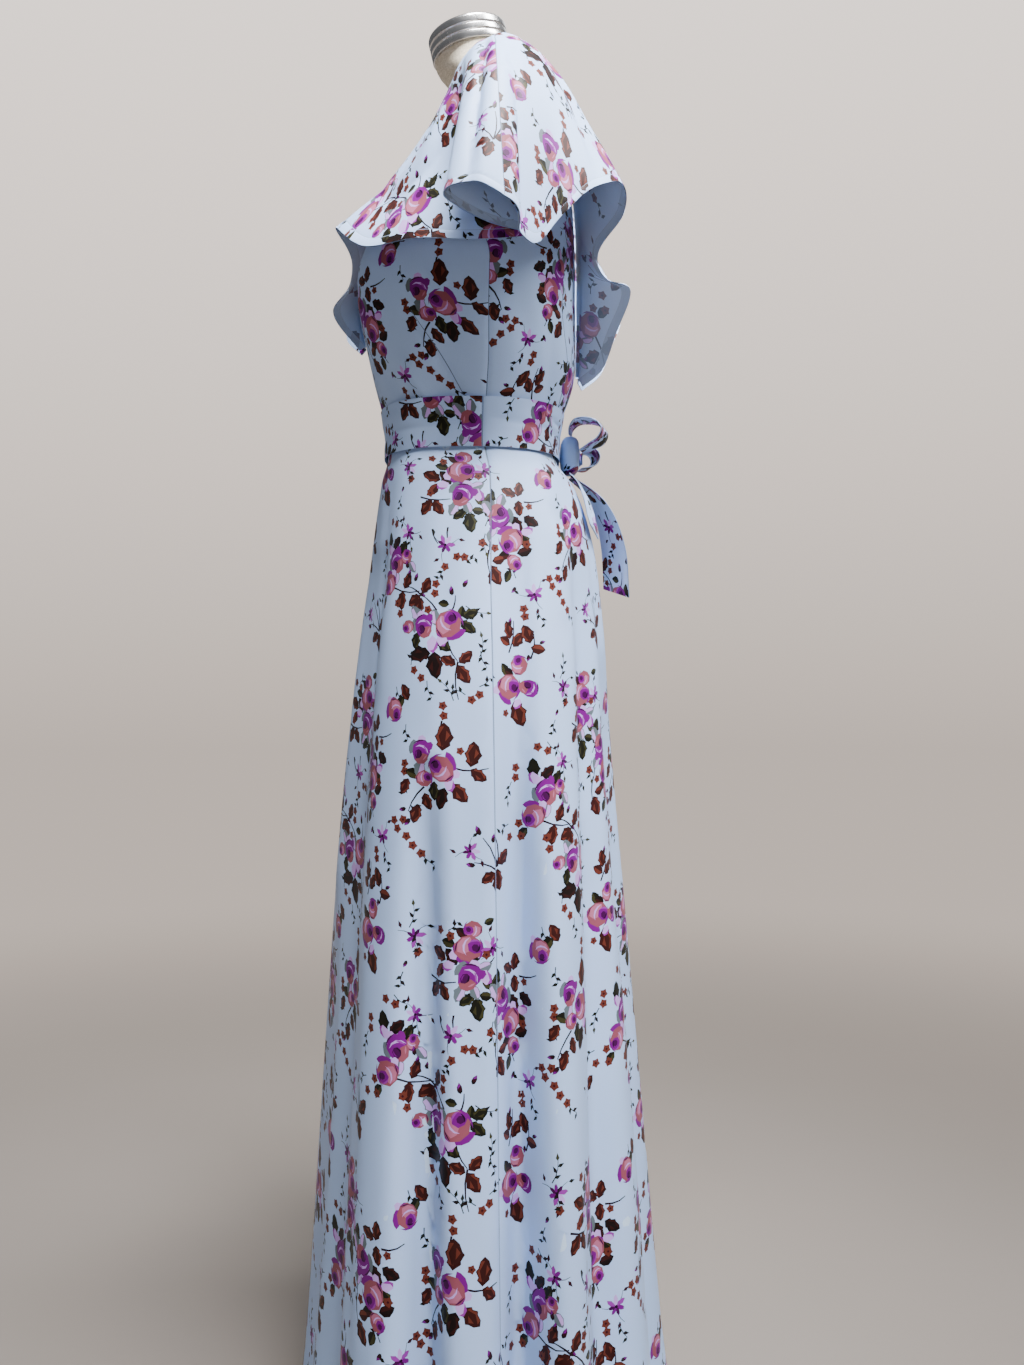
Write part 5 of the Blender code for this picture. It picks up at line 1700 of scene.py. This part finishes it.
def make_skirt():
    panels = (
        ("skirt_front", -SIDE_SEAM_ANGLE, SIDE_SEAM_ANGLE, 147, 1.0, (0, 24)),
        ("skirt_back_left", SIDE_SEAM_ANGLE, 180.0, 62, 0.0, (0, 24)),
        ("skirt_back_right", 180.0, 360.0 - SIDE_SEAM_ANGLE, 62, 0.5, (60, 90)),
    )
    for name, start, end, steps, pivot, offset in panels:
        cloth = skirt_cloth(start, end, steps, pivot, SKIRT_CREASES[name])
        make_cloth(name, cloth, offset, *SKIRT_SPACING, wrong="plain")


# Where each panel's pattern lies on the print, in chart units
BODICE_PRINT = {
    ("front", "left"): (253, -5), ("front", "right"): (130, 20),
    ("back", "left"): (97, 189), ("back", "right"): (130, 140),
}
FLOUNCE_PRINT = {
    ("front", "left"): (103, 267), ("front", "right"): (30, 160),
    ("back", "left"): (-93, 514), ("back", "right"): (30, 160),
}


def make_top():
    frames = neck_line()
    for front, word in ((True, "front"), (False, "back")):
        for side in ("left", "right"):
            bodice = bodice_cloth(front, side, BODICE_CREASES[word, side],
                                  FRONT_DART if front else BACK_DART)
            make_cloth(f"bodice_{word}_{side}", bodice, BODICE_PRINT[word, side], *BODICE_SPACING,
                       WALL, "plain", "stretched")
            grid = flounce_grid(frames, front, 1.0 if side == "left" else RIGHT_FLUTES)
            if side == "right":
                grid[:, :, 0] *= -1.0
            outward = -1.0 if side == "left" else 1.0
            edge = "last_column" if front else "first_column"
            fan = Fan(grid, outward, ((edge, "seam"), ("last_row", "hem")), FLOUNCE_CREASES[word, side])
            make_cloth(f"flounce_{word}_{side}", fan, FLOUNCE_PRINT[word, side], *FLOUNCE_SPACING,
                       WALL, held="draped")


def make_belt():
    pieces = (
        ("belt_front", -BELT_SEAM_ANGLE, BELT_SEAM_ANGLE, 90, (185, -61), BELT_CREASES),
        ("belt_back_left", BELT_SEAM_ANGLE, 178.6, 44, (-77, -361), BELT_BACK_CREASES),
        ("belt_back_right", 181.4, 360.0 - BELT_SEAM_ANGLE, 44, (50, 60), BELT_FAR_CREASES),
    )
    for name, start, end, steps, offset, creases in pieces:
        make_cloth(name, belt_cloth(start, end, steps, creases), offset, *BELT_SPACING,
                   wrong="plain", held="stretched")
    make_cloth("belt_knot", knot_cloth(), (10, 40), *KNOT_SPACING, held=None)
    for name, loop in LOOPS.items():
        make_cloth(name, loop_cloth(loop, RIBBON_CREASES), (10, -20), *LOOP_SPACING, WALL,
                   "doubled", "folded")
    ends = (("tie_end_left", LEFT_END, 1.0, (0, 40)), ("tie_end_right", RIGHT_END, -1.0, (50, -40)))
    for name, falls, side, offset in ends:
        make_cloth(name, end_cloth(falls, side, RIBBON_CREASES), offset, *END_SPACING, WALL, "doubled")


# The form, its cap and its stand
RING_STEPS = 96
TORSO_ROWS = 110
GROOVE_HEIGHTS = (0.0085, 0.0165)
GROOVE_DEPTH = 0.0012
GROOVE_WIDTH = 0.0007
CAP_ROUNDING = 0.004


def give_material(name, made):
    item = bpy.data.objects[name]
    item.data.materials.clear()
    item.data.materials.append(made)


def smooth_piece(name, points, faces, finish):
    """A finer copy of a turned solid, smooth but for its sharp edges."""
    mesh = bpy.data.meshes.new(name)
    mesh.from_pydata(points, [], faces)
    mesh.shade_smooth()
    mesh.set_sharp_from_angle(angle=math.radians(35.0))
    mesh.materials.append(finish)
    item = new_item(f"{name}_smooth", mesh)
    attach(item, "root")
    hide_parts(name)


def rings_faces(rings):
    """Faces between rings of points, with a fan to the first and the last point of the list."""
    faces = []
    for step in range(RING_STEPS):
        after = (step + 1) % RING_STEPS
        for ring in range(rings - 1):
            low = 1 + ring * RING_STEPS
            high = low + RING_STEPS
            faces.append((low + step, low + after, high + after, high + step))
        last = 1 + (rings - 1) * RING_STEPS
        faces.append((0, 1 + after, 1 + step))
        faces.append((1 + rings * RING_STEPS, last + step, last + after))
    return faces


def make_torso():
    heights = spread(FORM[0].height, FORM[-1].height, TORSO_ROWS)
    points = [(0.0, 0.5 * (FORM[0].front + FORM[0].back), FORM[0].height)]
    for height in heights:
        section = at(FORM, height)
        for step in range(RING_STEPS):
            point = section_point(section, 360.0 * step / RING_STEPS)
            point.z += (point.y - section.side) * section.lean
            points.append(point)
    points.append(NECK_TOP.copy())
    smooth_piece("form_torso", points, rings_faces(len(heights)), linen_material("form_linen"))


def make_cap():
    """The turned neck cap: two soft grooves round its side and a rounded top edge."""
    profile = [(CAP_RADIUS - 0.001, 0.0), (CAP_RADIUS - 0.0003, 0.0003), (CAP_RADIUS, 0.001)]
    for height in GROOVE_HEIGHTS:
        profile += [(CAP_RADIUS - GROOVE_DEPTH * math.exp(-(off / GROOVE_WIDTH) ** 2), height + off)
                    for off in spread(-0.0016, 0.0016, 8)]
    for turn in spread(0.0, 90.0, 8):
        angle = math.radians(turn)
        profile.append((CAP_RADIUS - CAP_ROUNDING * (1.0 - math.cos(angle)),
                        CAP_HEIGHT - CAP_ROUNDING * (1.0 - math.sin(angle))))
    up = Vector((0.0, -math.sin(CAP_TILT), math.cos(CAP_TILT)))
    forward = Vector((0.0, math.cos(CAP_TILT), math.sin(CAP_TILT)))
    low = NECK_TOP + up * SEAM_GAP
    points = [low]
    for radius, height in profile:
        for step in range(RING_STEPS):
            angle = 2.0 * math.pi * step / RING_STEPS
            points.append(low + up * height + Vector((radius * math.cos(angle), 0.0, 0.0))
                          + forward * radius * math.sin(angle))
    points.append(low + up * CAP_HEIGHT)
    smooth_piece("form_neck_cap", points, rings_faces(len(profile)), chrome_material("cap_chrome"))


# The backdrop's tones are painted light: darker at the horizon and brighter above, as on a wall lit from
# overhead
HORIZON_TONE = (0.70, 0.60, 0.53, 1.0)
TOP_TONE = (1.70, 1.50, 1.38, 1.0)
ROOM_TONE = (0.86, 0.88, 0.92, 1.0)
FLOOR_TONES = ((0.225, 0.20, 0.18, 1.0), (0.26, 0.23, 0.21, 1.0))
FLOOR_REACH = 9.0
FLOOR_LEVEL = -0.0005


def make_floor():
    """A pale floor that, away from the dress, fades into a painted glow in the backdrop's horizon tone.
    """
    ways = ((-1, -1), (1, -1), (1, 1), (-1, 1))
    corners = [(x * FLOOR_REACH, y * FLOOR_REACH, FLOOR_LEVEL) for x, y in ways]
    mesh = bpy.data.meshes.new("floor")
    mesh.from_pydata(corners, [], [(0, 1, 2, 3)])
    made, tree, shader = new_material("floor_paint")
    colour = ramped(tree, noise(tree, 1.5, 3.0), *FLOOR_TONES)
    wire(tree, shader, {"Base Color": colour, "Roughness": 0.85, "Specular IOR Level": 0.1})
    place = node(tree, "TexCoord", "Object", {})
    length = node(tree, "VectorMath", "Value", {0: place}, operation="LENGTH")
    far = ranged(tree, length, 0.0, 1.0, 0.5, 3.6, interpolation_type="SMOOTHSTEP")
    # painted glow: far out the floor shines in the horizon tone rather than taking the lamps' light
    glow = node(tree, "Emission", "Emission", {"Color": HORIZON_TONE})
    both = node(tree, "MixShader", "Shader", {"Fac": far, 1: shader.outputs["BSDF"], 2: glow})
    wire(tree, tree.nodes["Material Output"], {"Surface": both})
    mesh.materials.append(made)
    floor = new_item("floor", mesh)


def add_light(name, place, target, size, power, colour, beam=180.0):
    lamp = bpy.data.lights.new(name, "AREA")
    lamp.shape = "RECTANGLE"
    lamp.size = size[0]
    lamp.size_y = size[1]
    lamp.energy = power
    lamp.color = colour
    lamp.spread = math.radians(beam)
    item = new_item(name, lamp)
    item.location = place
    item.rotation_euler = (Vector(target) - Vector(place)).to_track_quat("-Z", "Y").to_euler()


def add_lights():
    chest = (0.0, 0.0, 1.30)
    add_light("key", (0.72, 0.32, 3.0), chest, (0.8, 0.7), 56.0, (1.0, 0.99, 0.98), 90.0)
    add_light("right", (0.5, 1.5, 2.8), chest, (0.8, 0.8), 19.0, (1.0, 1.0, 1.0), 90.0)
    add_light("fill", (2.8, 0.1, 1.2), (0.0, 0.0, 1.1), (1.6, 1.2), 2.0, (0.94, 0.97, 1.0))
    add_light("back", (-2.2, 0.6, 3.0), chest, (1.6, 1.2), 11.0, (1.0, 1.0, 1.0))


def add_world():
    """Soft light that is stronger from above, behind a backdrop seen only by the camera, whose colour is
    painted brighter upwards as if lit from overhead.
    """
    world = bpy.data.worlds.new("studio")
    world.use_nodes = True
    tree = world.node_tree
    room = tree.nodes["Background"]
    rise = node(tree, "SeparateXYZ", "Z", {"Vector": node(tree, "TexCoord", "Generated", {})})
    wire(tree, room, {"Color": ROOM_TONE, "Strength": ranged(tree, rise, 0.06, 0.27, -0.4, 0.9)})
    # painted light: the camera sees a glowing backdrop that brightens upwards
    backdrop = ramped(tree, ranged(tree, rise, 0.0, 1.0, -0.05, 0.50), HORIZON_TONE, TOP_TONE)
    seen = node(tree, "Background", "Background", {"Color": backdrop})
    inputs = {"Fac": node(tree, "LightPath", "Is Camera Ray", {}), 1: room.outputs["Background"], 2: seen}
    both = node(tree, "MixShader", "Shader", inputs)
    wire(tree, tree.nodes["World Output"], {"Surface": both})
    bpy.context.scene.world = world


CAMERA_PLACE = (1.4, 0.044, 0.83)
PHOTO_HEIGHT = 1365
PHOTO_SCALE = 0.0011


def add_camera():
    """The photo's view: the wearer's left side, level, at 1.1 mm a pixel in the middle plane."""
    camera = bpy.data.cameras.new("camera")
    camera.sensor_width = 36.0
    camera.lens = camera.sensor_width * CAMERA_PLACE[0] / (PHOTO_HEIGHT * PHOTO_SCALE)
    item = new_item("camera", camera)
    item.location = CAMERA_PLACE
    item.rotation_euler = (math.radians(90.0), 0.0, math.radians(90.0))
    bpy.context.scene.camera = item


add_camera()
make_skirt()
make_top()
make_belt()
make_torso()
make_cap()
give_material("form_pole", steel_material("pole_paint"))
give_material("form_base", steel_material("base_paint"))
make_floor()
add_lights()
add_world()
